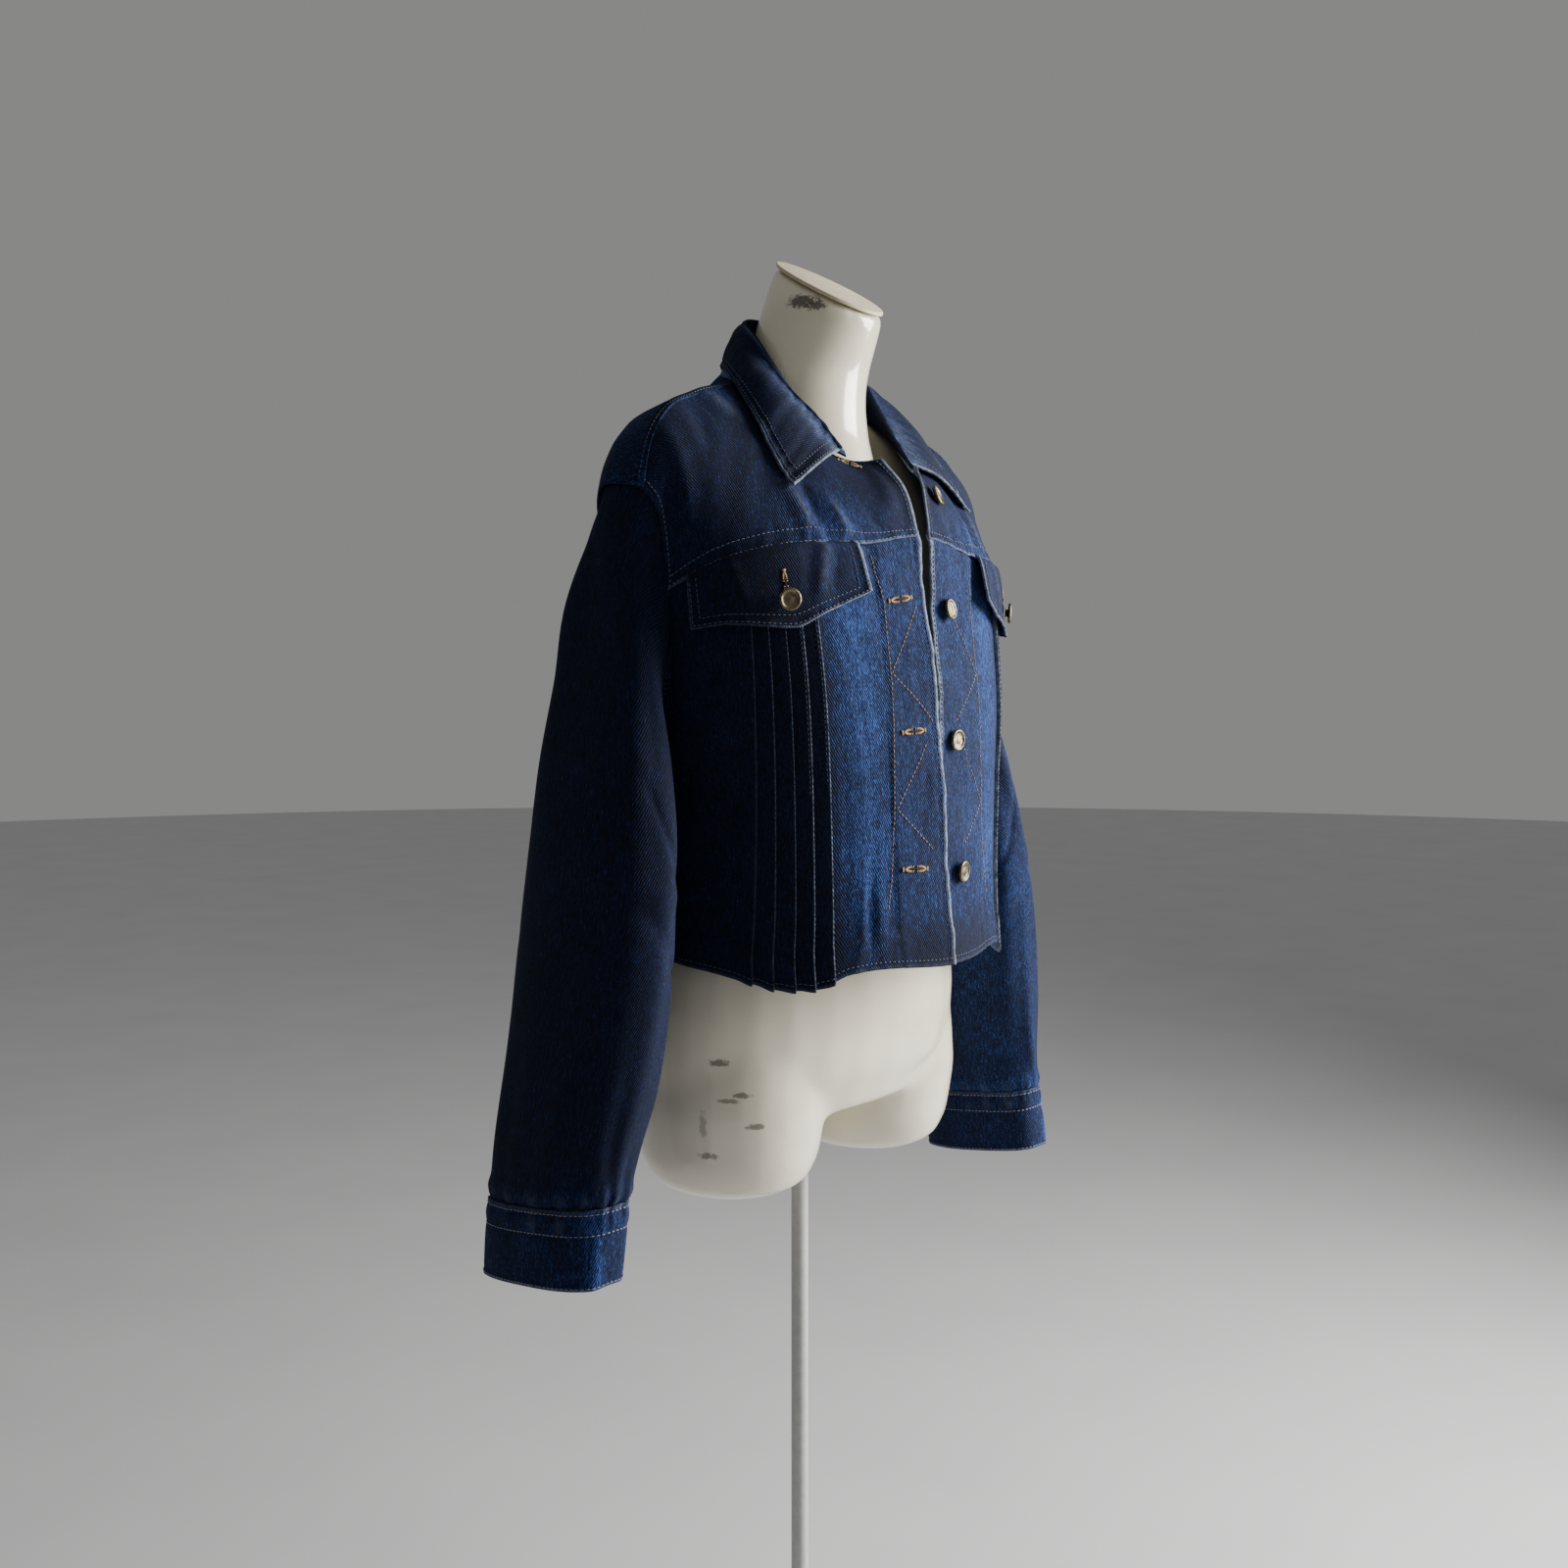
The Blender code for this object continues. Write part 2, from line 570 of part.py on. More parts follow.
def flap(side):
    """Pocket flap, hung from just under the yoke seam and standing off at its free edge."""
    phis = (22.5, 28.0, 34.0, 38.5, 42.5, 49.0, 56.0, 62.0, 67.0)
    rows = []
    for share in (0.0, 0.25, 0.5, 0.75, 1.0):
        row = []
        for phi in phis:
            top = smooth(YOKE_SEAM, phi) - 0.0015
            z = flap_outline(phi) + share * (top - flap_outline(phi))
            lift = PLEAT_STEP + DOUBLE_CLOTH + FLAP_GAP + FLAP_SPRING * (1 - share) ** 2
            lift = lift - (PLEAT_STEP + FLAP_GAP / 3) * share**6 + overlap_lift(side, phi)
            row.append(body_point(side, phi, z, lift))
        rows.append(row)
    sheet(f"flap_{side_name(side)}", rows, DOUBLE_CLOTH, "denim", flip=side < 0)


def turned(name, profile, segments, material, location, outward):
    """A turned piece from a profile of (radius, height), top to bottom, along outward."""
    mesh = bpy.data.meshes.new(name)
    bm = bmesh.new()
    corners = [bm.verts.new((radius, 0.0, height)) for radius, height in profile]
    for first, second in zip(corners, corners[1:]):
        bm.edges.new((first, second))
    bm.to_mesh(mesh)
    bm.free()
    piece = bpy.data.objects.new(name, mesh)
    piece.data.materials.append(surface_material(material))
    screw = piece.modifiers.new("turning", "SCREW")
    screw.axis = "Z"
    screw.steps = segments
    screw.render_steps = segments
    screw.use_merge_vertices = True
    screw.merge_threshold = 0.00001
    screw.use_smooth_shade = True
    piece.location = location
    piece.rotation_mode = "QUATERNION"
    piece.rotation_quaternion = Vector(outward).to_track_quat("Z", "Y")
    collection.objects.link(piece)
    return piece


def button_profile():
    shank_radius = 0.0034
    head = 0.0024
    return (
        (0.0, BUTTON_HEIGHT + 0.0006),
        (BUTTON_RADIUS * 0.55, BUTTON_HEIGHT + 0.0002),
        (BUTTON_RADIUS * 0.92, BUTTON_HEIGHT - 0.0006),
        (BUTTON_RADIUS, BUTTON_HEIGHT - 0.0014),
        (BUTTON_RADIUS * 0.90, BUTTON_HEIGHT - head),
        (shank_radius, BUTTON_HEIGHT - head),
        (shank_radius, 0.0),
        (0.0, 0.0),
    )


def surface_frame(sample):
    """Place and outward direction of a surface given by a function of two small steps."""
    place = sample(0.0, 0.0)
    across = sample(0.5, 0.0) - place
    up = sample(0.0, 0.003) - place
    outward = np.cross(across, up)
    return place, outward / np.linalg.norm(outward)


def buttons():
    for number, height in enumerate(BUTTON_HEIGHTS, start=1):
        phi = math.degrees(math.asin(BUTTON_LINE / smooth(BODY, height)[0]))
        phi = phi + (2.0 if height > 1.2 else 0.0)
        place, outward = surface_frame(
            lambda turn, rise: body_point(1, phi + turn, height + rise, 0.0)
        )
        turned(f"front_button_{number}", button_profile(), 20, "brass",
               place + outward * BUTTON_SEAT, outward)
    place, outward = yoke_place(front_yoke_rows(1), *TOP_BUTTON, 0.0006)
    turned("front_button_4", button_profile(), 20, "brass", place, outward)
    phi, height = FLAP_BUTTON
    flap_face = PLEAT_STEP + DOUBLE_CLOTH + FLAP_GAP + 0.5 * FLAP_SPRING
    for side in (-1, 1):
        place, outward = surface_frame(
            lambda turn, rise: body_point(1, phi + turn, height + rise, flap_face)
        )
        place = place + outward * BUTTON_SEAT
        turned(f"flap_button_{side_name(side)}", button_profile(), 20, "brass",
               mirrored(side, place), mirrored(side, outward))


def form_ring(size, around):
    z, half_width, front, back, middle, rise = size
    ring = []
    for i in range(around):
        x, y = section(360 * i / around, half_width, front, back)
        ring.append(Vector((x, y + middle, z + rise * y)))
    return ring


def loft(name, rings, material, hidden=False):
    """A closed solid through rings of points, lowest ring first."""
    bm = bmesh.new()
    loops = [[bm.verts.new(point) for point in ring] for ring in rings]
    count = len(loops[0])
    for lower, upper in zip(loops, loops[1:]):
        for i in range(count):
            k = (i + 1) % count
            bm.faces.new((lower[i], lower[k], upper[k], upper[i]))
    bm.faces.new(list(reversed(loops[0])))
    bm.faces.new(loops[-1])
    bmesh.ops.recalc_face_normals(bm, faces=bm.faces)
    mesh = bpy.data.meshes.new(name)
    bm.to_mesh(mesh)
    bm.free()
    mesh.shade_smooth()
    piece = bpy.data.objects.new(name, mesh)
    piece.data.materials.append(surface_material(material))
    if hidden:
        piece.hide_render = True
        piece.display_type = "WIRE"
        cutters.objects.link(piece)
    else:
        collection.objects.link(piece)
    return piece


def torso_form():
    heights = []
    for low, high in zip(TORSO, TORSO[1:]):
        heights.append(low[0])
        if high[0] - low[0] > TALL_STEP:
            heights.append((low[0] + high[0]) / 2)
    heights.append(TORSO[-1][0])
    rings = [form_ring((z, *smooth(TORSO, z), 0.0, 0.0), 28) for z in heights]
    torso = loft("torso_form", rings, "ivory")
    neck = loft("neck", [form_ring(size, 28) for size in NECK], "ivory", hidden=True)
    join = torso.modifiers.new("join_neck", "BOOLEAN")
    join.operation = "UNION"
    join.solver = "EXACT"
    join.object = neck
    for side in (-1, 1):
        thigh_rings = []
        for z, across, deep in THIGH:
            ring = []
            for i in range(24):
                x, y = section(360 * i / 24, across, deep, deep)
                ring.append(Vector((side * THIGH_X + x, y, z)))
            thigh_rings.append(ring)
        thigh = loft(f"thigh_{side_name(side)}", thigh_rings, "ivory", hidden=True)
        join = torso.modifiers.new(f"join_{side_name(side)}", "BOOLEAN")
        join.operation = "UNION"
        join.solver = "EXACT"
        join.object = thigh


def neck_cap():
    z, half_width, front, back, middle, rise = NECK[-1]
    inset = 0.0010
    gap = 0.0003
    rings = []
    for lift in (gap, gap + CAP_THICKNESS):
        size = (z + lift, half_width - inset, front - inset, back - inset, middle, rise)
        rings.append(form_ring(size, 28))
    loft("neck_cap", rings, "cap")


def stand():
    plate = ((0.0, BASE_THICKNESS), (BASE_RADIUS - 0.002, BASE_THICKNESS),
             (BASE_RADIUS, BASE_THICKNESS - 0.002), (BASE_RADIUS, 0.0), (0.0, 0.0))
    turned("base_plate", plate, 48, "steel", (0, 0, 0), (0, 0, 1))
    gap = 0.0003
    foot = BASE_THICKNESS + gap
    pole_top = CROTCH_Z - gap
    pole = ((0.0, pole_top), (POLE_RADIUS, pole_top), (POLE_RADIUS, foot), (0.0, foot))
    turned("pole", pole, 24, "steel", (0, 0, 0), (0, 0, 1))
    bore = POLE_RADIUS + gap
    socket = 0.0125
    flange = 0.030
    top = foot + 0.040
    ring = ((bore, top), (socket, top), (socket, foot + 0.006), (flange, foot + 0.004),
            (flange, foot), (bore, foot), (bore, top))
    turned("foot_collar", ring, 28, "steel", (0, 0, 0), (0, 0, 1))


clear_scene()
collection = bpy.data.collections.new(COLLECTION)
cutters = bpy.data.collections.new("cutters")
bpy.context.scene.collection.children.link(collection)
bpy.context.scene.collection.children.link(cutters)

torso_form()
neck_cap()
stand()
back_panel()
back_yoke()
for body_side in (-1, 1):
    front_panel(body_side)
    front_yoke(body_side)
    flap(body_side)
    sleeve(body_side)
    cuff(body_side)
collar()
buttons()
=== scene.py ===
import math

import bmesh
import bpy
import numpy as np
from mathutils import Matrix, Vector


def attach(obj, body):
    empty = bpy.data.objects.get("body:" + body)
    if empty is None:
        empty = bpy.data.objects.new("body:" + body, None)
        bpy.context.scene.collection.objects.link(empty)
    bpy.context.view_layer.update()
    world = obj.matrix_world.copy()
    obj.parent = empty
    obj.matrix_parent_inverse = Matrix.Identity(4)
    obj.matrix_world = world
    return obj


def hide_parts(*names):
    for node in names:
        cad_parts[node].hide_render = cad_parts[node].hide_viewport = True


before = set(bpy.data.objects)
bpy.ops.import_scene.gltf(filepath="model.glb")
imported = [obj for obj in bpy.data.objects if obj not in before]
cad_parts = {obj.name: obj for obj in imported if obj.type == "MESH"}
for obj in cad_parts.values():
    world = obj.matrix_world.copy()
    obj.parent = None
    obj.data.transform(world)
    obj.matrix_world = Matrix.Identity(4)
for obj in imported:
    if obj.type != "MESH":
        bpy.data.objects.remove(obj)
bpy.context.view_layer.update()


# curves through short tables of sizes

def tableCurve(table):
    # rows of key, value...; gives the values at any keys, on a curve with no overshoot
    rows = np.array(table, dtype=float)
    keys, values = rows[:, 0], rows[:, 1:]
    steps = np.diff(values, axis=0) / np.diff(keys)[:, None]
    slopes = np.zeros_like(values)
    slopes[0], slopes[-1] = steps[0], steps[-1]
    sameWay = steps[:-1] * steps[1:] > 0
    total = np.where(sameWay, steps[:-1] + steps[1:], 1.0)
    slopes[1:-1] = np.where(sameWay, 2 * steps[:-1] * steps[1:] / total, 0.0)

    def at(position):
        position = np.clip(np.asarray(position, dtype=float), keys[0], keys[-1])
        i = np.clip(np.searchsorted(keys, position, side="right") - 1, 0, len(keys) - 2)
        span = (keys[i + 1] - keys[i])[..., None]
        t = (position - keys[i])[..., None] / span
        result = (2 * t**3 - 3 * t**2 + 1) * values[i] + (t**3 - 2 * t**2 + t) * span * slopes[i]
        result = result + (3 * t**2 - 2 * t**3) * values[i + 1] + (t**3 - t**2) * span * slopes[i + 1]
        return result[..., 0] if values.shape[1] == 1 else result

    return at


def through(points, t):
    # places t (0 to 1) on an even Catmull-Rom curve; points may be (count, 3) or (count, many, 3)
    points = np.asarray(points, dtype=float)
    last = len(points) - 1
    t = np.asarray(t, dtype=float)
    place = np.clip(t, 0.0, 1.0) * last
    i = np.minimum(place.astype(int), last - 1)
    full = np.concatenate((2 * points[:1] - points[1:2], points, 2 * points[-1:] - points[-2:-1]))
    before, a, b, after = full[i], full[i + 1], full[i + 2], full[i + 3]
    u = (place - i).reshape(place.shape + (1,) * (a.ndim - place.ndim))
    bend = 2 * a + (b - before) * u + (2 * before - 5 * a + 4 * b - after) * u**2
    return 0.5 * (bend + (3 * a - before - 3 * b + after) * u**3)


def unit(vectors):
    return vectors / np.maximum(np.linalg.norm(vectors, axis=-1, keepdims=True), 1e-12)


def bump(value, middle, width):
    # a soft hill of height 1
    return np.exp(-((value - middle) / width) ** 2)


def ease(value, low, high):
    # 0 below low, 1 above high, smooth between
    t = np.clip((value - low) / (high - low), 0.0, 1.0)
    return t * t * (3 - 2 * t)


def fall(value, low, high):
    # 1 below low, 0 above high, smooth between
    return 1 - ease(value, low, high)


def fromTurn(degrees, middle):
    # signed degrees away from middle, the short way round a ring
    return (degrees - middle + 180) % 360 - 180


def ripple(value, seed, count=5, first=1.0):
    # uneven waves made of a few fixed sines, about -1 to 1
    source = np.random.default_rng(seed)
    total = np.zeros_like(np.asarray(value, dtype=float))
    for k in range(count):
        rate = first * (1 + 0.75 * k) * source.uniform(0.8, 1.25)
        total = total + np.sin(rate * value + source.uniform(0, 6.28)) / (1 + 0.6 * k)
    return total / 2.0


# the jacket body's outer face, shared by the panels, yokes, flaps and buttons

bodySize = tableCurve((
    # z, half width, depth in front, depth behind, fullness in front, fullness behind
    (0.930, 0.172, 0.157, 0.113, 0.010, 0.02),
    (1.000, 0.173, 0.151, 0.112, 0.015, 0.02),
    (1.090, 0.178, 0.146, 0.111, 0.035, 0.02),
    (1.160, 0.185, 0.1415, 0.111, 0.055, 0.02),
    (1.240, 0.1955, 0.131, 0.108, 0.055, 0.01),
    (1.290, 0.206, 0.1255, 0.098, 0.045, 0.00),
    (1.325, 0.220, 0.117, 0.085, 0.030, 0.00),
))
hemHeight = tableCurve((
    # degrees round the body, z
    (-10, 0.9570), (5, 0.9570), (23, 0.9610), (33, 0.9580), (43, 0.9480),
    (50, 0.9480), (60, 0.9530), (72, 0.9610), (96, 0.9700), (180, 0.9750),
))
yokeSeam = tableCurve(((-10, 1.2860), (3, 1.2860), (21, 1.2765), (37, 1.2730), (52, 1.2640), (75, 1.2400)))
rightEdge = tableCurve(((0.93, -0.005), (1.03, -0.006), (1.20, -0.006), (1.23, -0.008), (1.29, -0.013)))
leftEdge = tableCurve(((0.93, 0.014), (1.03, 0.013), (1.13, 0.010), (1.23, 0.002), (1.29, -0.008)))
armhole = tableCurve((
    # turn round the sleeve from the underarm over the front, degrees round the body, z
    (0, 96.0, 1.130), (30, 83.0, 1.150), (60, 77.5, 1.190), (92, 75.0, 1.240),
    (140, 73.5, 1.297), (160, 78.5, 1.3145), (180, 91.0, 1.3180), (212, 108.5, 1.303),
    (235, 118.0, 1.278), (285, 118.0, 1.205), (325, 109.0, 1.150), (360, 96.0, 1.130),
))
# degree is how many metres one degree is, round the front
body = {"sideSeam": 96.0, "degree": 0.0028, "overlapStep": 0.0062, "overlapReach": 22.0, "backSeam": 1.285,
        "frontTurn": 92, "shoulderTurn": 160, "backTurn": 229}

sides = ((-1, "right"), (1, "left"))


def bodyPoint(side, phi, z, lift=0.0):
    phi, z, lift = np.broadcast_arrays(np.asarray(phi, float), np.asarray(z, float), np.asarray(lift, float))
    size = bodySize(z)

    def outline(turn):
        angle = np.radians(turn)
        ahead = np.cos(angle) > 0
        full = 1 + np.where(ahead, size[..., 3], size[..., 4]) * np.sin(2 * angle) ** 2
        depth = np.where(ahead, size[..., 1], size[..., 2])
        return np.stack((size[..., 0] * np.sin(angle) * full, -depth * np.cos(angle) * full), axis=-1)

    along = outline(phi + 1) - outline(phi - 1)
    out = unit(np.stack((along[..., 1], -along[..., 0]), axis=-1))
    place = outline(phi) + out * lift[..., None]
    return np.stack((side * place[..., 0], place[..., 1], z), axis=-1)


def edgePhi(side, z):
    return -np.degrees(np.arcsin((rightEdge(z) if side < 0 else leftEdge(z)) / bodySize(z)[..., 0]))


def overlapLift(side, phi):
    # the right front hangs over the left one
    if side > 0:
        return 0.0 * phi
    return body["overlapStep"] * np.clip(1 - np.maximum(phi, 0.0) / body["overlapReach"], 0.0, 1.0) ** 1.5


def armholePoint(side, turn):
    place = armhole(turn)
    return bodyPoint(side, place[..., 0], place[..., 1])


def mirrored(side, points):
    return np.asarray(points, dtype=float) * np.array((side, 1.0, 1.0))


def sheetNormals(points, flip):
    across = np.gradient(points, axis=1)
    up = np.gradient(points, axis=0)
    out = unit(np.cross(across, up))
    return -out if flip else out


def newObject(name, data):
    made = bpy.data.objects.new(name, data)
    bpy.context.scene.collection.objects.link(made)
    return made


pieces = {}   # what each cloth piece needs for placing stitches on it


def clothPiece(name, place, uKeys, vKeys, wall, relief, wear, fadeAndPaintedLight, flip=False, closed=False):
    # a grid bent over place(u, v), raised by relief(u, v), with its wall behind it
    u, v = np.meshgrid(uKeys, vKeys)
    smooth = place(u, v)
    out = sheetNormals(smooth, flip)
    if closed:
        out[:, 0] = out[:, -1] = unit(out[:, 0] + out[:, -1])
    points = smooth + out * relief(u, v)[..., None]
    across = np.linalg.norm(np.diff(points, axis=1), axis=-1).mean(axis=0)
    up = np.linalg.norm(np.diff(points, axis=0), axis=-1).mean(axis=1)
    uvAcross = np.concatenate(([0.0], np.cumsum(across)))
    uvUp = np.concatenate(([0.0], np.cumsum(up)))
    columns, rows = len(uKeys), len(vKeys)
    bm = bmesh.new()
    bmesh.ops.create_grid(bm, x_segments=columns - 1, y_segments=rows - 1, size=0.5)
    if flip:
        bmesh.ops.reverse_faces(bm, faces=bm.faces)
    mesh = bpy.data.meshes.new(name)
    bm.to_mesh(mesh)
    bm.free()
    flat = np.zeros(len(mesh.vertices) * 3)
    mesh.vertices.foreach_get("co", flat)
    column = np.rint((flat[0::3] + 0.5) * (columns - 1)).astype(int)
    row = np.rint((flat[1::3] + 0.5) * (rows - 1)).astype(int)
    mesh.vertices.foreach_set("co", points[row, column].ravel())
    corners = np.zeros(len(mesh.loops), dtype=int)
    mesh.loops.foreach_get("vertex_index", corners)
    uvMap = mesh.uv_layers.new(name="clothMetres")
    uvs = np.stack((uvAcross[column[corners]], uvUp[row[corners]]), axis=-1)
    uvMap.data.foreach_set("uv", uvs.ravel())
    # wear is rubbed pale cloth, with painted highlight on some pleat edges; the second attribute is faded indigo
    # together with painted light and shade
    for label, amount in (("wear", wear), ("fadeAndPaintedLight", fadeAndPaintedLight)):
        layer = mesh.attributes.new(label, "FLOAT", "POINT")
        values = np.clip(np.broadcast_to(amount(u, v), u.shape), 0.0, 1.0)
        layer.data.foreach_set("value", values[row, column].astype(np.float32))
    if closed:
        bm = bmesh.new()
        bm.from_mesh(mesh)
        bmesh.ops.remove_doubles(bm, verts=bm.verts, dist=0.00002)
        bm.to_mesh(mesh)
        bm.free()
    mesh.shade_smooth()
    piece = newObject(name, mesh)
    mesh.materials.append(materials["denim"])
    mesh.materials.append(materials["denimInside"])
    solidify = piece.modifiers.new("wall", "SOLIDIFY")
    solidify.thickness = wall
    solidify.offset = -1.0
    solidify.material_offset = 1
    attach(piece, "root")
    pieces[name] = {"object": piece, "u": np.asarray(uKeys), "v": np.asarray(vKeys), "points": points,
                    "out": sheetNormals(points, flip)}
    return piece


def finishPiece(bm, name, material, replaces=None):
    # a bmesh made into a named piece, with the CAD node that it stands for, if there is one
    mesh = bpy.data.meshes.new(name)
    bm.to_mesh(mesh)
    bm.free()
    mesh.shade_smooth()
    piece = newObject(name, mesh)
    mesh.materials.append(materials[material])
    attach(piece, "root")
    if replaces:
        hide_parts(replaces)
    return piece


def onPiece(name, u, v, lift=0.0):
    # place and outward direction on a finished cloth piece at its own u and v
    piece = pieces[name]
    u, v = np.atleast_1d(np.asarray(u, float)), np.atleast_1d(np.asarray(v, float))
    i = np.clip(np.searchsorted(piece["u"], u, side="right") - 1, 0, len(piece["u"]) - 2)
    j = np.clip(np.searchsorted(piece["v"], v, side="right") - 1, 0, len(piece["v"]) - 2)
    a = ((u - piece["u"][i]) / (piece["u"][i + 1] - piece["u"][i]))[:, None]
    b = ((v - piece["v"][j]) / (piece["v"][j + 1] - piece["v"][j]))[:, None]
    result = []
    for grid in (piece["points"], piece["out"]):
        low = (1 - a) * grid[j, i] + a * grid[j, i + 1]
        high = (1 - a) * grid[j + 1, i] + a * grid[j + 1, i + 1]
        result.append((1 - b) * low + b * high)
    place, out = result
    out = unit(out)
    return place + out * lift, out


# materials

def linear(code):
    # sRGB hex to linear colour
    parts = [int(code[k:k + 2], 16) / 255 for k in (1, 3, 5)]
    return tuple(p / 12.92 if p <= 0.04045 else ((p + 0.055) / 1.055) ** 2.4 for p in parts) + (1.0,)


def addNode(material, kind, settings=None, inputs=None):
    # a node with its settings, and its inputs given as values or as links from other nodes' outputs
    node = material.node_tree.nodes.new(kind)
    for label, value in (settings or {}).items():
        setattr(node, label, value)
    for key, value in (inputs or {}).items():
        if isinstance(value, bpy.types.NodeSocket):
            material.node_tree.links.new(value, node.inputs[key])
        else:
            node.inputs[key].default_value = value
    return node


def newMaterial(name):
    material = bpy.data.materials.new(name)
    material.use_nodes = True
    return material, material.node_tree.nodes["Principled BSDF"]


def setShader(shader, values):
    for label, value in values.items():
        shader.inputs[label].default_value = value


def scaled(material, value, factor, added):
    # value times factor, plus added
    node = addNode(material, "ShaderNodeMath", {"operation": "MULTIPLY_ADD"}, {0: value, 1: factor, 2: added})
    return node.outputs["Value"]


def speckled(material, scale, detail, rough, low, high):
    # uneven colour from fine noise; low and high are (position, colour), and the noise itself is given back too
    place = addNode(material, "ShaderNodeTexCoord").outputs["Object"]
    spots = addNode(material, "ShaderNodeTexNoise", {}, {
        "Vector": place, "Scale": scale, "Detail": detail, "Roughness": rough}).outputs["Fac"]
    ramp = addNode(material, "ShaderNodeValToRGB", {}, {"Fac": spots})
    for stop, (position, colour) in zip(ramp.color_ramp.elements, (low, high)):
        stop.position = position
        stop.color = colour
    return ramp.outputs["Color"], spots, place


def join(material, output, node, key):
    material.node_tree.links.new(output, node.inputs[key])


denimLook = {
    "deep": "#060912", "middle": "#0f1c40", "light": "#365da6", "worn": "#adbad2",
    "twillSpacing": 0.0017,      # real twill is 0.7 mm, drawn coarser so that it shows
    "slubWidth": 0.0016, "slubLength": 0.010,
    "fleckWidth": 0.0009, "fleckLength": 0.0030,
    "clouds": 0.030,
    "base": 0.165, "contrast": 1.5, "fadeAndPaintedLightContrast": 1.1,
}


def denimMaterial(name, look):
    # indigo warp over white weft: upright slub streaks, a fine diagonal, pale where it has rubbed
    material, shader = newMaterial(name)
    uv = addNode(material, "ShaderNodeUVMap", {"uv_map": "clothMetres"})
    wear = addNode(material, "ShaderNodeAttribute", {"attribute_name": "wear"})
    fadeAndPaintedLight = addNode(material, "ShaderNodeAttribute", {"attribute_name": "fadeAndPaintedLight"})
    fields = {}
    for label, scale, detail, rough in (
        ("slub", (1 / look["slubWidth"], 1 / look["slubLength"], 1.0), 3.0, 0.6),
        ("fleck", (1 / look["fleckWidth"], 1 / look["fleckLength"], 1.0), 2.0, 0.5),
        ("clouds", (1 / look["clouds"], 0.55 / look["clouds"], 1.0), 4.0, 0.6),
        ("rub", (1 / 0.006, 1 / 0.006, 1.0), 3.0, 0.7),
    ):
        spot = addNode(material, "ShaderNodeMapping", {}, {"Vector": uv.outputs["UV"], "Scale": scale})
        fields[label] = addNode(material, "ShaderNodeTexNoise", {"noise_dimensions": "2D"}, {
            "Vector": spot.outputs["Vector"], "Scale": 1.0, "Detail": detail, "Roughness": rough})
    turned = addNode(material, "ShaderNodeMapping", {}, {
        "Vector": uv.outputs["UV"], "Rotation": (0.0, 0.0, math.radians(28)), "Scale": (1.0, 1.0, 1.0)})
    twill = addNode(material, "ShaderNodeTexWave", {"wave_type": "BANDS", "bands_direction": "X"}, {
        "Vector": turned.outputs["Vector"], "Scale": 0.314 / look["twillSpacing"], "Distortion": 1.2,
        "Detail": 1.0, "Detail Scale": 2.0})
    mixed = scaled(material, fields["slub"].outputs["Fac"], 0.48, 0.0)
    flecked = scaled(material, fields["fleck"].outputs["Fac"], 0.48, mixed)
    clouded = scaled(material, fields["clouds"].outputs["Fac"], 0.16, flecked)
    twilled = scaled(material, twill.outputs["Fac"], 0.14, clouded)
    centred = addNode(material, "ShaderNodeMath", {"operation": "SUBTRACT"}, {0: twilled, 1: 0.63})
    # where the indigo has faded, and where light is painted onto the sides that face the lamp, the tone is lighter
    # and the streaks show more
    contrast = scaled(material, fadeAndPaintedLight.outputs["Fac"], look["fadeAndPaintedLightContrast"], look["contrast"])
    base = scaled(material, fadeAndPaintedLight.outputs["Fac"], 0.62, look["base"])
    toneWithPaintedLight = scaled(material, centred.outputs["Value"], contrast, base)
    ramp = addNode(material, "ShaderNodeValToRGB", {}, {"Fac": toneWithPaintedLight})
    stops = ramp.color_ramp.elements
    stops[0].position, stops[0].color = 0.05, linear(look["deep"])
    stops[1].position, stops[1].color = 1.0, linear(look["light"])
    middle = stops.new(0.46)
    middle.color = linear(look["middle"])
    rubbed = scaled(material, fields["rub"].outputs["Fac"], 1.3, -0.25)
    wearing = addNode(material, "ShaderNodeMath", {"operation": "MULTIPLY", "use_clamp": True}, {
        0: wear.outputs["Fac"], 1: rubbed})
    colour = addNode(material, "ShaderNodeMix", {"data_type": "RGBA"}, {
        0: wearing.outputs["Value"], 6: ramp.outputs["Color"], 7: linear(look["worn"])})
    join(material, colour.outputs[2], shader, "Base Color")
    height = addNode(material, "ShaderNodeMath", {"operation": "ADD"}, {
        0: twill.outputs["Fac"], 1: fields["fleck"].outputs["Fac"]})
    relief = addNode(material, "ShaderNodeBump", {}, {
        "Height": height.outputs["Value"], "Strength": 0.55, "Distance": 0.0005})
    join(material, relief.outputs["Normal"], shader, "Normal")
    setShader(shader, {"Roughness": 0.86, "IOR": 1.5, "Specular IOR Level": 0.16,
                       "Sheen Weight": 0.02, "Sheen Roughness": 0.5,
                       "Sheen Tint": linear("#8fa6d0")})
    return material


insideLook = dict(denimLook, deep="#2a3654", middle="#46577e", light="#8492b0", worn="#b4c3da", base=0.4)

materials = {}
materials["denim"] = denimMaterial("indigoTwillDenim", denimLook)
materials["denimInside"] = denimMaterial("denimWeftSide", insideLook)


def threadMaterial(name, code):
    # spun polyester thread: matt, with a slight glint along its twist
    material, shader = newMaterial(name)
    base = linear(code)
    shaded = tuple(0.6 * c for c in base[:3]) + (1.0,)
    colour, _, _ = speckled(material, 900.0, 2.0, 0.5, (0.3, shaded), (0.7, base))
    join(material, colour, shader, "Base Color")
    setShader(shader, {"Roughness": 0.6, "Specular IOR Level": 0.4, "Sheen Weight": 0.2})
    return material


for name, code in (("paleThread", "#8a8798"), ("tanThread", "#b08a58"),
                   ("dimThread", "#38445e"), ("seamThread", "#5c6480")):
    materials[name] = threadMaterial(name, code)
print("materials for cloth and thread made")


# front panels, with five knife pleats each

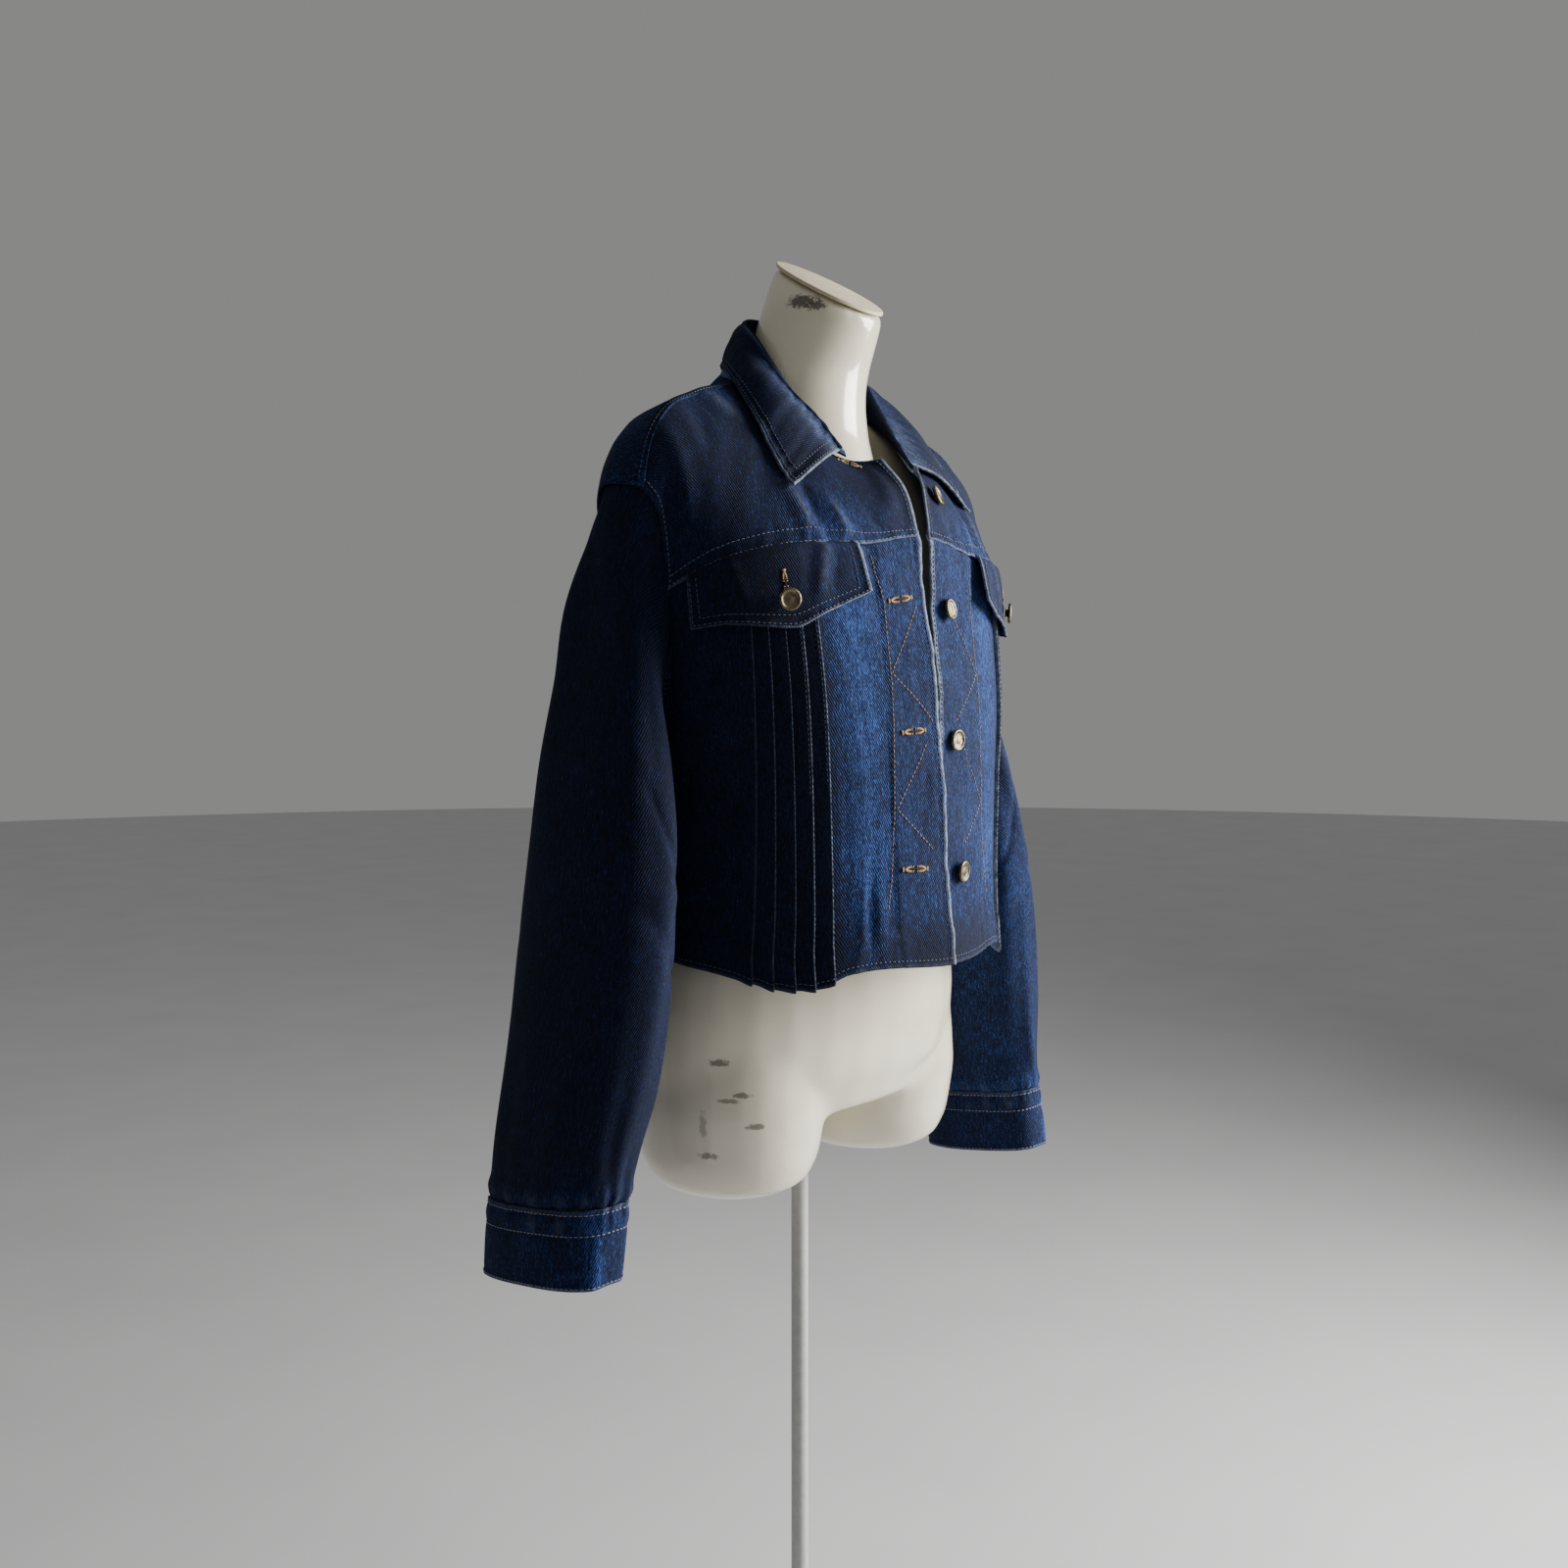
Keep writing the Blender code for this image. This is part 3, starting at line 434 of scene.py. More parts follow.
front = {
    "pleatTops": (35.0, 38.7, 42.6, 46.5, 50.4), "pleatHems": (38.0, 43.0, 48.0, 53.5, 59.0),
    "pleatStep": 0.0034, "pleatLean": (1.0, 0.92, 0.75, 0.7, 0.6),
    # pale pleat edges: rubbed cloth, and on the two pleats nearest the front edge, which face the lamp, painted
    # highlight as well
    "pleatWearAndHighlight": (0.75, 0.62, 0.16, 0.12, 0.10),
    "plainTop": 32.0, "plainHem": 34.5, "armholeFoot": 84.0,
    "height": 0.325, "hemTurn": 0.028, "seamTuck": 0.0018, "seamUnder": 0.004,
    "waves": 0.0011, "wall": 0.0014,
}


def frontTop(side, hem):
    # degrees and height at the top of the column that starts at hem degrees on the hem
    seamEnd = float(armhole(body["frontTurn"])[0])
    hems = (float(edgePhi(side, 0.957)), front["plainHem"], *front["pleatHems"], 64.0, 74.0, front["armholeFoot"])
    tops = (float(edgePhi(side, 1.28)), front["plainTop"], *front["pleatTops"], 56.0, 65.0, seamEnd)
    phi = np.interp(hem, hems, tops)
    z = yokeSeam(phi)
    turn = body["frontTurn"] * (body["sideSeam"] - hem) / (body["sideSeam"] - front["armholeFoot"])
    onArmhole = armhole(np.clip(turn, 0.0, body["frontTurn"]))
    past = hem > front["armholeFoot"]
    return np.where(past, onArmhole[..., 0], phi), np.where(past, onArmhole[..., 1], z)


def pleatLift(hem, v):
    lift = np.zeros_like(hem)
    feet = list(front["pleatHems"][1:]) + [64.5]
    for edge, foot, lean in zip(front["pleatHems"], feet, front["pleatLean"]):
        rise = np.clip((hem - edge + 0.30) / 0.22, 0.0, 1.0) ** 0.7
        fall = np.clip((foot - 0.3 - hem) / (foot - 0.3 - edge), 0.0, 1.0)
        lift += np.where((hem > edge - 0.31) & (hem < foot - 0.29), rise * fall * lean, 0.0)
    return lift * front["pleatStep"] * np.clip((1.02 - v) * 8, 0.0, 1.0)


def frontPlace(side):
    def place(u, v):
        # u is degrees round the body at the hem, v runs from the hem to the yoke seam
        topPhi, topZ = frontTop(side, u)
        low = hemHeight(u)
        phi = u + v * (topPhi - u)
        underYoke = front["seamUnder"] * ease(v, 0.9, 1.0) * fall(u, 81, 84)
        z = low + v * (topZ - low) + underYoke
        phi += 0.35 * bump(v, 0.075, 0.05) * ease(u, 36, 40) * fall(u, 60, 66)
        # the edge itself wanders a little
        phi += 0.35 * bump(u, -1.0, 6.0) * ripple(v * 9, 3 + side, 3)
        z += 0.0010 * ripple(u / 9.0, 12 + side, 3) * fall(v, 0.0, 0.12)
        for at in front["pleatHems"]:
            z -= 0.0016 * ease(u, at - 0.3, at) * fall(u, at, at + 4.0) * fall(v, 0.0, 0.08)
        return bodyPoint(side, phi, z, overlapLift(side, phi))
    return place


def frontRelief(side):
    seed = 20 + side

    def relief(u, v):
        arc = u * body["degree"]
        high = v * front["height"]
        lift = pleatLift(u, v)
        placket = 18.0 + 1.5 * np.cos((v - 0.35) * 3.0)
        # double cloth of the turned facing, with small puckers along its stitching
        lift += 0.0007 * fall(u, placket - 0.5, placket + 0.5)
        lift += 0.00055 * bump(u, placket, 1.7) * ripple(high * 420, seed, 4)
        lift -= 0.0006 * bump(u, placket, 0.35)
        # upright waves between the pleats and the facing, deeper towards the hem and the yoke
        wave = ripple(arc * 210 + 2.5 * np.sin(high * 14), seed + 1, 4)
        depth = front["waves"] * (0.5 + 0.9 * fall(v, 0.0, 0.3) + 0.8 * ease(v, 0.82, 0.95))
        lift += wave * depth * bump(u, 26.0, 8.5) * fall(u, 33.5, 35.5)
        lift += 0.0011 * bump(u, 29.0, 1.5) * ease(v, 0.0, 0.05) * fall(v, 0.10, 0.24)
        lift += 0.0016 * bump(u, 24.0, 2.2) * bump(v, 0.10, 0.10)
        lift -= 0.0012 * bump(u, 27.0, 1.6) * bump(v, 0.13, 0.12)
        # the front edge bows between its buttonholes
        lift += 0.0014 * bump(u, 1.0, 7.0) * np.sin(high * 61 + 1.0 + side)
        lift += 0.0007 * fall(u, 1.0, 14.0) * ripple(high * 150, seed + 2, 4)
        # the facing's cloth is crumpled a little between the buttonholes
        crumple = ripple(high * 95 + 0.35 * u, seed + 6, 4) * ripple(u * 0.55 - high * 60, seed + 7, 3)
        lift += 0.0011 * crumple * bump(u, 9.5, 6.0) * ease(v, 0.04, 0.12)
        # rolled edge and its stitched groove
        edge = np.abs(u - edgePhi(side, 1.1))
        lift += 0.0006 * bump(u, -1.6, 1.3) - 0.0004 * bump(edge, 2.6, 0.35)
        # turned hem: a soft ridge where the turning ends, flattened below it
        lift += 0.0007 * fall(high, front["hemTurn"] - 0.002, front["hemTurn"] + 0.002)
        lift -= 0.0005 * bump(high, front["hemTurn"], 0.0022) * (1 - 0.6 * ease(u, 60, 80))
        lift += 0.0004 * bump(high, 0.002, 0.004)
        # creases from the underarm, and a hollow under the flap's outer end
        for startU, startV, length, deep in ((88, 0.62, 26, 1.6), (86, 0.50, 30, -1.5), (82, 0.86, 10, 1.2)):
            line = startV - 0.16 * np.clip((startU - u) / length, 0.0, 1.0)
            lift += 0.001 * deep * bump(v, line, 0.035) * ease(u, 60, 66) * fall(u, 90, 96)
        # tucked under the yoke
        tuck = ease(v, 0.978, 0.992) * fall(u, 81, 84)
        lift -= front["seamTuck"] * tuck
        # puckers where the yoke is sewn on
        return lift + 0.0005 * bump(v, 0.965, 0.03) * ripple(u * 2.6, seed + 4, 4) * (1 - tuck)
    return relief


def frontWear(side):
    def wear(u, v):
        edge = edgePhi(side, 1.1)
        amount = 0.9 * fall(u, edge + 0.25, edge + 0.8)
        # pleat edges: rubbed pale, with painted highlight on the two that face the lamp
        for at, strength in zip(front["pleatHems"], front["pleatWearAndHighlight"]):
            amount += strength * np.where((u > at - 0.29) & (u < at + 0.14), 1.0, 0.0)
        return amount + 0.12 * fall(v, 0.003, 0.009)
    return wear


def frontFadeAndPaintedLight(u, v):
    # rubbed paler between the pleats and the front edge, with painted light there where the lamp falls; painted
    # shade towards the side under the arm, and darker towards the hem
    amount = 0.38 - 0.36 * ease(u, 33, 40) + 0.20 * bump(u, 27, 7)
    return amount - 0.32 * fall(v, 0.02, 0.16) + 0.06 * bump(v, 0.86, 0.1) * fall(u, 30, 36)


def frontKeys():
    keys = list(np.arange(-1.5, 96.01, 0.75))
    for at in front["pleatHems"]:
        keys = [key for key in keys if abs(key - at) > 0.62]
        keys += [at - 0.55, at - 0.30, at - 0.27, at - 0.22, at - 0.15, at - 0.08, at + 0.05, at + 0.30]
    return sorted(keys + [body["sideSeam"]])


def remap(side, keys):
    # the first columns are squeezed onto the true edge
    edge = float(edgePhi(side, 0.957))
    keys = np.array(keys)
    inner = 6.0
    near = keys < inner
    keys[near] = edge + (keys[near] - keys[0]) / (inner - keys[0]) * (inner - edge)
    return keys


frontRows = np.concatenate((np.linspace(0, 0.02, 5), np.linspace(0.0275, 1.0, 126)))
for side, label in sides:
    piece = clothPiece(f"frontPanel_{label}", frontPlace(side), remap(side, frontKeys()), frontRows,
                       front["wall"], frontRelief(side), frontWear(side), frontFadeAndPaintedLight, flip=side < 0)
    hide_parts(f"front_panel_{label}")
print("front panels made")


# back panel

back = {"seamFoot": 134.0, "height": 0.31, "wall": 0.0014, "tuck": 0.0018, "under": 0.004, "folds": 0.0032}


def backSeamZ(share):
    low = float(armhole(body["backTurn"])[1])
    return low + (body["backSeam"] - low) * np.minimum(1.0, share / 0.35)


def backPlace(u, v):
    # u from -1 at the right side seam to 1 at the left one
    side = np.where(u < 0, -1.0, 1.0)
    share = 1 - np.abs(u)          # 0 at the side seam, 1 at centre back
    split = 0.46                   # where the armhole meets the back yoke seam
    armShare = np.clip(share / split, 0.0, 1.0)
    seamShare = np.clip((share - split) / (1 - split), 0.0, 1.0)
    turn = 360 - armShare * (360 - body["backTurn"])
    onArmhole = armhole(turn)
    junction = float(armhole(body["backTurn"])[0])
    past = share > split
    topPhi = np.where(past, junction + seamShare * (180 - junction), onArmhole[..., 0])
    topZ = np.where(past, backSeamZ(seamShare), onArmhole[..., 1])
    hem = np.where(past, back["seamFoot"] + seamShare * (180 - back["seamFoot"]),
                   body["sideSeam"] - 1.2 + armShare * (back["seamFoot"] - body["sideSeam"] + 1.2))
    low = hemHeight(hem)
    phi = hem + v * (topPhi - hem)
    z = low + v * (topZ - low) + back["under"] * ease(v, 0.9, 1.0) * ease(share, split, split + 0.04)
    points = bodyPoint(1, phi, z)
    points[..., 0] = points[..., 0] * side
    return points


def backRelief(u, v):
    share = 1 - np.abs(u)
    high = v * back["height"]
    lift = -0.0016 * fall(share, 0.02, 0.05)        # under the front at the side seam
    lift -= back["tuck"] * ease(v, 0.975, 0.99) * ease(share, 0.44, 0.50)
    # soft upright folds from the yoke down, uneven from side to side
    for at, width, top, deep in ((-0.42, 0.10, 0.9, 1.0), (-0.16, 0.07, 0.6, -0.7), (0.10, 0.08, 0.75, 0.6),
                                 (0.38, 0.11, 0.85, 1.1), (0.60, 0.06, 0.5, -0.8), (-0.66, 0.07, 0.45, -0.9)):
        lift += back["folds"] * deep * bump(u + 0.05 * np.sin(5 * v), at, width) * bump(v, top - 0.35, 0.42)
    # drag lines from each underarm towards the middle
    for startV, slope, deep in ((0.52, 0.30, 1.8), (0.42, 0.18, -1.6), (0.66, 0.36, -1.4)):
        line = startV + slope * share
        lift += 0.001 * deep * bump(v, line, 0.035) * ease(share, 0.04, 0.12) * fall(share, 0.28, 0.5)
    lift += 0.0007 * fall(high, 0.026, 0.030) - 0.0009 * bump(high, 0.028, 0.002)
    lift += 0.0004 * bump(v, 0.96, 0.03) * ripple(u * 130, 41, 4)
    return lift + 0.0005 * ripple(u * 22 + 3 * np.sin(5 * v), 44, 4)


def backWear(u, v):
    return 0.12 * fall(v, 0.003, 0.009)


def backFade(u, v):
    return 0.35 + 0.25 * bump(u, 0.0, 0.5) * ease(v, 0.3, 0.8)


backPiece = clothPiece("backPanel", backPlace, np.linspace(-1, 1, 151),
                       np.concatenate((np.linspace(0, 0.02, 4), np.linspace(0.03, 1, 104))),
                       back["wall"], backRelief, backWear, backFade, flip=True)
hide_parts("back_panel")
print("back panel made")


# yokes

yoke = {
    "wall": 0.0014, "gap": 0.0009, "across": 12, "neckColumns": 5, "lap": 0.0015,
    "neckline": ((0.022, -0.103, 1.347), (0.044, -0.084, 1.346), (0.064, -0.056, 1.364),
                 (0.073, -0.026, 1.392), (0.072, 0.002, 1.413), (0.060, 0.032, 1.425),
                 (0.033, 0.050, 1.433), (0.0, 0.056, 1.435)),
    "shoulder": ((0.072, 0.002, 1.413), (0.100, -0.003, 1.4075), (0.140, -0.009, 1.3945),
                 (0.176, -0.016, 1.3790), (0.200, -0.021, 1.3520)),
    "neckPoint": 4,
}


def coonsPatch(bottom, top, start, end, bulge):
    def place(u, v):
        a, b = u[0], v[:, 0]
        low, high = bottom(a)[None], top(a)[None]
        first, last = start(b)[:, None], end(b)[:, None]
        across, up = a[None, :, None], b[:, None, None]
        points = (1 - up) * low + up * high + (1 - across) * first + across * last
        for corner, shareAcross in ((0.0, 1 - across), (1.0, across)):
            corners = bottom(np.array([corner])), top(np.array([corner]))
            points = points - shareAcross * ((1 - up) * corners[0] + up * corners[1])
        return points + np.array(bulge) * np.sin(np.pi * across) * np.sin(np.pi * up)
    return place


def shoulderLine(side):
    # from the neck point to the armhole
    end = armholePoint(side, np.array(float(body["shoulderTurn"])))
    return np.concatenate((mirrored(side, yoke["shoulder"]), [end]))


def frontYokeEdges(side):
    seamEnd = float(armhole(body["frontTurn"])[0])
    startPhi = float(edgePhi(side, 1.286))
    neck = mirrored(side, yoke["neckline"][:yoke["neckPoint"] + 1])
    shoulder = shoulderLine(side)
    split = yoke["neckColumns"] / yoke["across"]

    def bottom(a):
        phi = startPhi + (seamEnd - startPhi) * a
        return bodyPoint(side, phi, yokeSeam(phi) + yoke["gap"] - yoke["lap"], overlapLift(side, phi))

    def top(a):
        onNeck = through(neck, np.clip(a / split, 0, 1))
        onShoulder = through(shoulder, np.clip((a - split) / (1 - split), 0, 1))
        return np.where((a <= split)[:, None], onNeck, onShoulder)

    foot = bottom(np.array([0.0]))[0]
    corner = neck[0]
    middle = (foot + corner) / 2 + np.array((side * -0.003, -0.004, 0.004))

    def start(b):
        return through((foot, middle, corner), b)

    def end(b):
        points = armholePoint(side, body["frontTurn"] + b * (body["shoulderTurn"] - body["frontTurn"]))
        drop = bottom(np.array([1.0]))[0] - points[0]
        return points + drop * fall(b, 0.0, 0.08)[:, None]

    return bottom, top, start, end


def frontYokePlace(side):
    return coonsPatch(*frontYokeEdges(side), (0.0, -0.008, 0.004))


def yokeRidge(u, v, u0, v0, u1, v1, width):
    # how near the ridge between two spots a place is, and how near its middle
    along = np.clip(((u - u0) * (u1 - u0) + (v - v0) * (v1 - v0)) / ((u1 - u0)**2 + (v1 - v0)**2), 0, 1)
    away = np.hypot(u - u0 - along * (u1 - u0), 0.7 * (v - v0 - along * (v1 - v0)))
    return bump(away, 0.0, width), np.sin(np.pi * along)


def frontYokeRelief(side):
    seed = 60 + side

    def relief(u, v):
        lift = 0.0004 + 0.0008 * fall(v, 0.0, 0.02)       # lapped edge over the panel
        # seam puckers, strongest towards the front
        lift += 0.0009 * bump(v, 0.05, 0.06) * ripple(u * 85, seed, 4) * fall(u, 0.3, 0.7)
        lift += 0.0004 * bump(v, 0.04, 0.05) * ripple(u * 70, seed + 1, 3)
        lift -= 0.0004 * bump(v, 0.045, 0.012)
        # ridges that run down from the collar and the shoulder: u, v at both ends, width, height
        for *ridge, high in (
            (0.50, 0.34, 0.40, 0.02, 0.030, 3.0), (0.33, 0.26, 0.26, 0.02, 0.026, 2.8),
            (0.42, 0.30, 0.36, 0.05, 0.020, -1.8), (0.62, 0.97, 0.60, 0.74, 0.030, 3.0),
            (0.70, 0.92, 0.72, 0.62, 0.028, -1.8), (0.83, 0.95, 0.86, 0.35, 0.040, 2.6),
            (0.93, 0.70, 0.90, 0.20, 0.026, -2.6), (0.18, 0.30, 0.14, 0.04, 0.020, -1.4),
            (0.06, 0.85, 0.10, 0.25, 0.030, 1.6),
        ):
            near, middle = yokeRidge(u, v, *ridge)
            lift += 0.001 * high * near * (0.35 + 0.65 * middle)
        lift += 0.0005 * ripple(u * 17 + 4 * v, seed + 3, 4) * np.sin(np.pi * np.clip(v, 0, 1))
        # rolled front edge with its stitched groove
        return lift + 0.0006 * bump(u, 0.0, 0.02) - 0.0004 * bump(u, 0.045, 0.010)
    return relief


def frontYokeWear(u, v):
    amount = 0.9 * fall(u, 0.004, 0.012)
    amount += 0.55 * fall(v, 0.006, 0.02) * (1 - 0.6 * ease(u, 0.3, 0.6))
    amount += 0.9 * ease(v, 0.985, 0.995) * fall(u, 0.18, 0.24)
    for *ridge, much in ((0.50, 0.34, 0.40, 0.02, 0.020, 0.14), (0.33, 0.26, 0.26, 0.02, 0.018, 0.16),
                         (0.62, 0.97, 0.60, 0.74, 0.020, 0.16)):
        near, middle = yokeRidge(u, v, *ridge)
        amount += much * near * middle
    return amount


def frontYokeFadeAndPaintedLight(u, v):
    # painted highlight: lighter patches where light catches the yoke's ridges, over a little faded indigo
    return 0.12 + 0.34 * bump(u, 0.32, 0.22) * fall(v, 0.15, 0.5) + 0.25 * bump(u, 0.62, 0.12) * ease(v, 0.7, 1)


yokeColumns = np.concatenate((np.linspace(0, 0.03, 6), np.linspace(0.04, 1.0, 92)))
yokeRows = np.concatenate((np.linspace(0, 0.03, 5), np.linspace(0.045, 1.0, 62)))
for side, label in sides:
    piece = clothPiece(f"frontYoke_{label}", frontYokePlace(side), yokeColumns, yokeRows, yoke["wall"],
                       frontYokeRelief(side), frontYokeWear, frontYokeFadeAndPaintedLight, flip=side < 0)
    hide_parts(f"front_yoke_{label}")


backYokeSizes = {"across": 13, "neckColumns": 5, "under": 0.006, "tuck": 0.0018}


def backYokeHalf(side):
    seamPhi = float(armhole(body["backTurn"])[0])
    shoulder = shoulderLine(side)[::-1]
    neck = mirrored(side, yoke["neckline"][yoke["neckPoint"]:])
    split = (backYokeSizes["across"] - backYokeSizes["neckColumns"]) / backYokeSizes["across"]

    def bottom(a):
        phi = seamPhi + (180 - seamPhi) * a
        return bodyPoint(side, phi, backSeamZ(a) - yoke["lap"])

    def top(a):
        onShoulder = through(shoulder, np.clip(a / split, 0, 1))
        onNeck = through(neck, np.clip((a - split) / (1 - split), 0, 1))
        forward = backYokeSizes["under"] * fall(a, split - 0.03, split)
        onShoulder = onShoulder - forward[:, None] * np.array((0.0, 1.0, 0.0))
        return np.where((a <= split)[:, None], onShoulder, onNeck)

    def start(b):
        points = armholePoint(side, body["backTurn"] + b * (body["shoulderTurn"] - body["backTurn"]))
        drop = bottom(np.array([0.0]))[0] - points[0]
        forward = top(np.array([0.0]))[0] - points[-1]
        return points + drop * fall(b, 0, 0.08)[:, None] + forward * ease(b, 0.93, 1)[:, None]

    centre = (bottom(np.array([1.0]))[0], (0.0, 0.104, 1.350), (0.0, 0.082, 1.400), neck[-1])

    def end(b):
        return through(centre, b)

    return coonsPatch(bottom, top, start, end, (0.0, 0.007, 0.005))


def backYokePlace(u, v):
    # u from 0 at the right armhole to 2 at the left one
    across, up = u[0], v[:, 0]
    right = across <= 1.0
    grids = []
    for side, keys in ((-1, across[right]), (1, 2 - across[~right])):
        a, b = np.meshgrid(keys, up)
        grids.append(backYokeHalf(side)(a, b))
    return np.concatenate(grids, axis=1)


def backYokeRelief(u, v):
    share = 1 - np.abs(u - 1)
    lift = 0.0004 + 0.0008 * fall(v, 0.0, 0.025)
    lift -= backYokeSizes["tuck"] * 1.2 * ease(v, 0.965, 0.985) * fall(share, 0.60, 0.63)
    lift += 0.0005 * bump(v, 0.05, 0.06) * ripple(u * 75, 71, 4) - 0.0004 * bump(v, 0.06, 0.015)
    lift -= 0.0035 * bump(share, 1.0, 0.16) * bump(v, 0.55, 0.30)
    for at, width, deep in ((0.32, 0.06, 1.0), (0.62, 0.08, -0.8), (0.86, 0.05, 0.7),
                            (1.28, 0.07, -0.7), (1.66, 0.06, 1.1)):
        lift += 0.0022 * deep * bump(u + 0.06 * v, at, width) * bump(v, 0.45, 0.35)
    return lift + 0.0004 * ripple(u * 15 + 4 * v, 75, 4)


def backYokeWear(u, v):
    return 0.20 * fall(v, 0.005, 0.015)


def backYokeFade(u, v):
    return 0.30 + 0.30 * bump(v, 0.7, 0.3) * bump(np.abs(u - 1), 0.5, 0.3)


piece = clothPiece("backYoke", backYokePlace, np.linspace(0, 2, 161),
                   np.concatenate((np.linspace(0, 0.03, 4), np.linspace(0.045, 1, 52))),
                   yoke["wall"], backYokeRelief, backYokeWear, backYokeFade, flip=True)
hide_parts("back_yoke")
print("yokes made")


# sleeves and cuffs

sleeve = {
    "wall": 0.0014, "cuffWall": 0.0020, "splay": 0.023, "drop": 0.028,
    "tuck": 0.0010, "under": 0.003,
    # outer x and z, inner x and z, front y, back y, fullness, rise of the front
    "rings": (
        (0.2215, 1.262, 0.1885, 1.094, -0.040, 0.056, 0.02, 0.000),
        (0.2285, 1.190, 0.1895, 1.056, -0.052, 0.064, 0.04, 0.000),
        (0.2460, 1.110, 0.1915, 1.012, -0.066, 0.070, 0.05, 0.000),
        (0.2645, 1.005, 0.1955, 0.960, -0.072, 0.073, 0.04, 0.002),
        (0.2770, 0.908, 0.2065, 0.888, -0.068, 0.073, 0.04, 0.005),
        (0.2855, 0.846, 0.2210, 0.840, -0.059, 0.070, 0.05, 0.007),
        (0.2880, 0.806, 0.2310, 0.805, -0.055, 0.068, 0.07, 0.008),
    ),
    "cuffRings": (
        (0.2885, 0.8050, 0.2305, 0.8045, -0.0555, 0.0685, 0.08, 0.008),
        (0.2905, 0.779, 0.2345, 0.778, -0.0545, 0.0680, 0.10, 0.008),
        (0.2920, 0.753, 0.2385, 0.752, -0.0540, 0.0675, 0.10, 0.008),
    ),
}


def sleeveRing(side, size, turns):
    outerX, outerZ, innerX, innerZ, frontY, backY, fullness, rise = size
    middle = np.array(((outerX + innerX) / 2, (frontY + backY) / 2, (outerZ + innerZ) / 2))
    reach = np.array(((outerX - innerX) / 2, 0.0, (outerZ - innerZ) / 2))
    angle = np.radians(turns)[:, None]
    full = 1 + fullness * np.sin(2 * angle) ** 2
    depth = np.array((0.0, (frontY - backY) / 2, 0.0))
    points = middle + full * (depth * np.sin(angle) - reach * np.cos(angle))
    points[:, 2] += rise * np.sin(angle[:, 0])
    if side > 0:
        hang = np.maximum(0.0, (1.13 - points[:, 2]) / (1.13 - sleeve["cuffRings"][-1][1]))
        points = points + hang[:, None] * np.array((sleeve["splay"], 0.0, -sleeve["drop"]))
    return mirrored(side, points)


def sleevePlace(side):
    def place(u, v):
        turns = u[0]
        start = armholePoint(side, turns)
        middle = start[:-1].mean(axis=0)
        first = start + unit(middle - start) * sleeve["tuck"] + np.array((-side * sleeve["under"], 0.0, 0.0))
        rings = np.stack([first] + [sleeveRing(side, size, turns) for size in sleeve["rings"]])
        return through(rings, v[:, 0])
    return place


def sleeveRelief(side):
    # turn, where along, width in degrees, length, height in mm, drift in degrees over its length
    folds = (
        (62, 0.10, 13, 0.12, -3.0, 10), (98, 0.20, 15, 0.22, 2.2, -14), (40, 0.30, 12, 0.20, 2.6, 12),
        (128, 0.32, 14, 0.20, -2.0, -10), (76, 0.45, 14, 0.20, -2.2, 18), (150, 0.52, 16, 0.24, 2.2, -12),
        (104, 0.62, 13, 0.20, 1.8, 14), (56, 0.66, 12, 0.18, -2.0, -12), (170, 0.80, 11, 0.16, 2.0, 6),
        (122, 0.86, 9, 0.13, -2.0, -8), (72, 0.86, 9, 0.14, 2.2, 8), (95, 0.93, 7, 0.08, -1.6, 0),
        (200, 0.18, 16, 0.16, -2.0, 12), (232, 0.34, 15, 0.20, 2.4, -12), (268, 0.22, 14, 0.20, -2.6, 14),
        (300, 0.42, 14, 0.22, 2.2, -14), (246, 0.58, 14, 0.20, -2.2, 14), (286, 0.72, 12, 0.16, 2.0, 8),
        (220, 0.84, 10, 0.14, -1.8, 6), (330, 0.60, 13, 0.20, 2.0, 10), (18, 0.55, 13, 0.20, -1.8, -10),
        (10, 0.80, 11, 0.16, 1.8, 8), (318, 0.88, 9, 0.12, -1.8, 0),
    )
    seed = 80 + side

    def relief(u, v):
        lift = 0.0 * u
        for turn, along, width, length, high, drift in folds:
            shift = 11 * side
            away = (u - turn - shift - drift * (v - along) / length * 0.5 + 180) % 360 - 180
            lift += 0.001 * high * np.exp(-(away / width) ** 2 - ((v - along) / length) ** 2)
        around = np.radians(u)
        # folds across the bend of the elbow at the front, and at the underarm
        for along, slope, deep in ((0.44, 0.035, -1.6), (0.50, -0.03, 1.3), (0.56, 0.025, -1.4)):
            lift += 0.001 * deep * bump(v, along + slope * np.sin(around * 2), 0.016) * (
                0.25 + 0.75 * bump(fromTurn(u, 60), 0.0, 55.0))
        lift += 0.0006 * np.sin(3 * around + 9 * v) * np.sin(np.pi * v) + 0.0004 * np.sin(5 * around - 14 * v)
        # gathered a little into the cuff, with short puckers between the two stitch rows
        pucker = puckers(around) + 0.7 * np.sin(29 * around + 2)
        near = ease(v, 0.90, 0.985)
        lift += 0.0005 * pucker * near + 0.0002 * np.sin(41 * around) * ease(v, 0.95, 1.0)
        lift += 0.0016 * bump(v, 0.965, 0.022)
        # hangs over the cuff
        lift -= 0.0012 * ease(v, 0.988, 1.0)
        # set in under the body's edge, with small puckers below the seam
        return lift + 0.0006 * np.sin(23 * around + 2 * np.sin(2 * around)) * bump(v, 0.05, 0.03)
    return relief


def puckers(around):
    # the gathers that run from the sleeve's foot into the cuff
    return np.sin(17 * around + 1.3 * np.sin(3 * around))


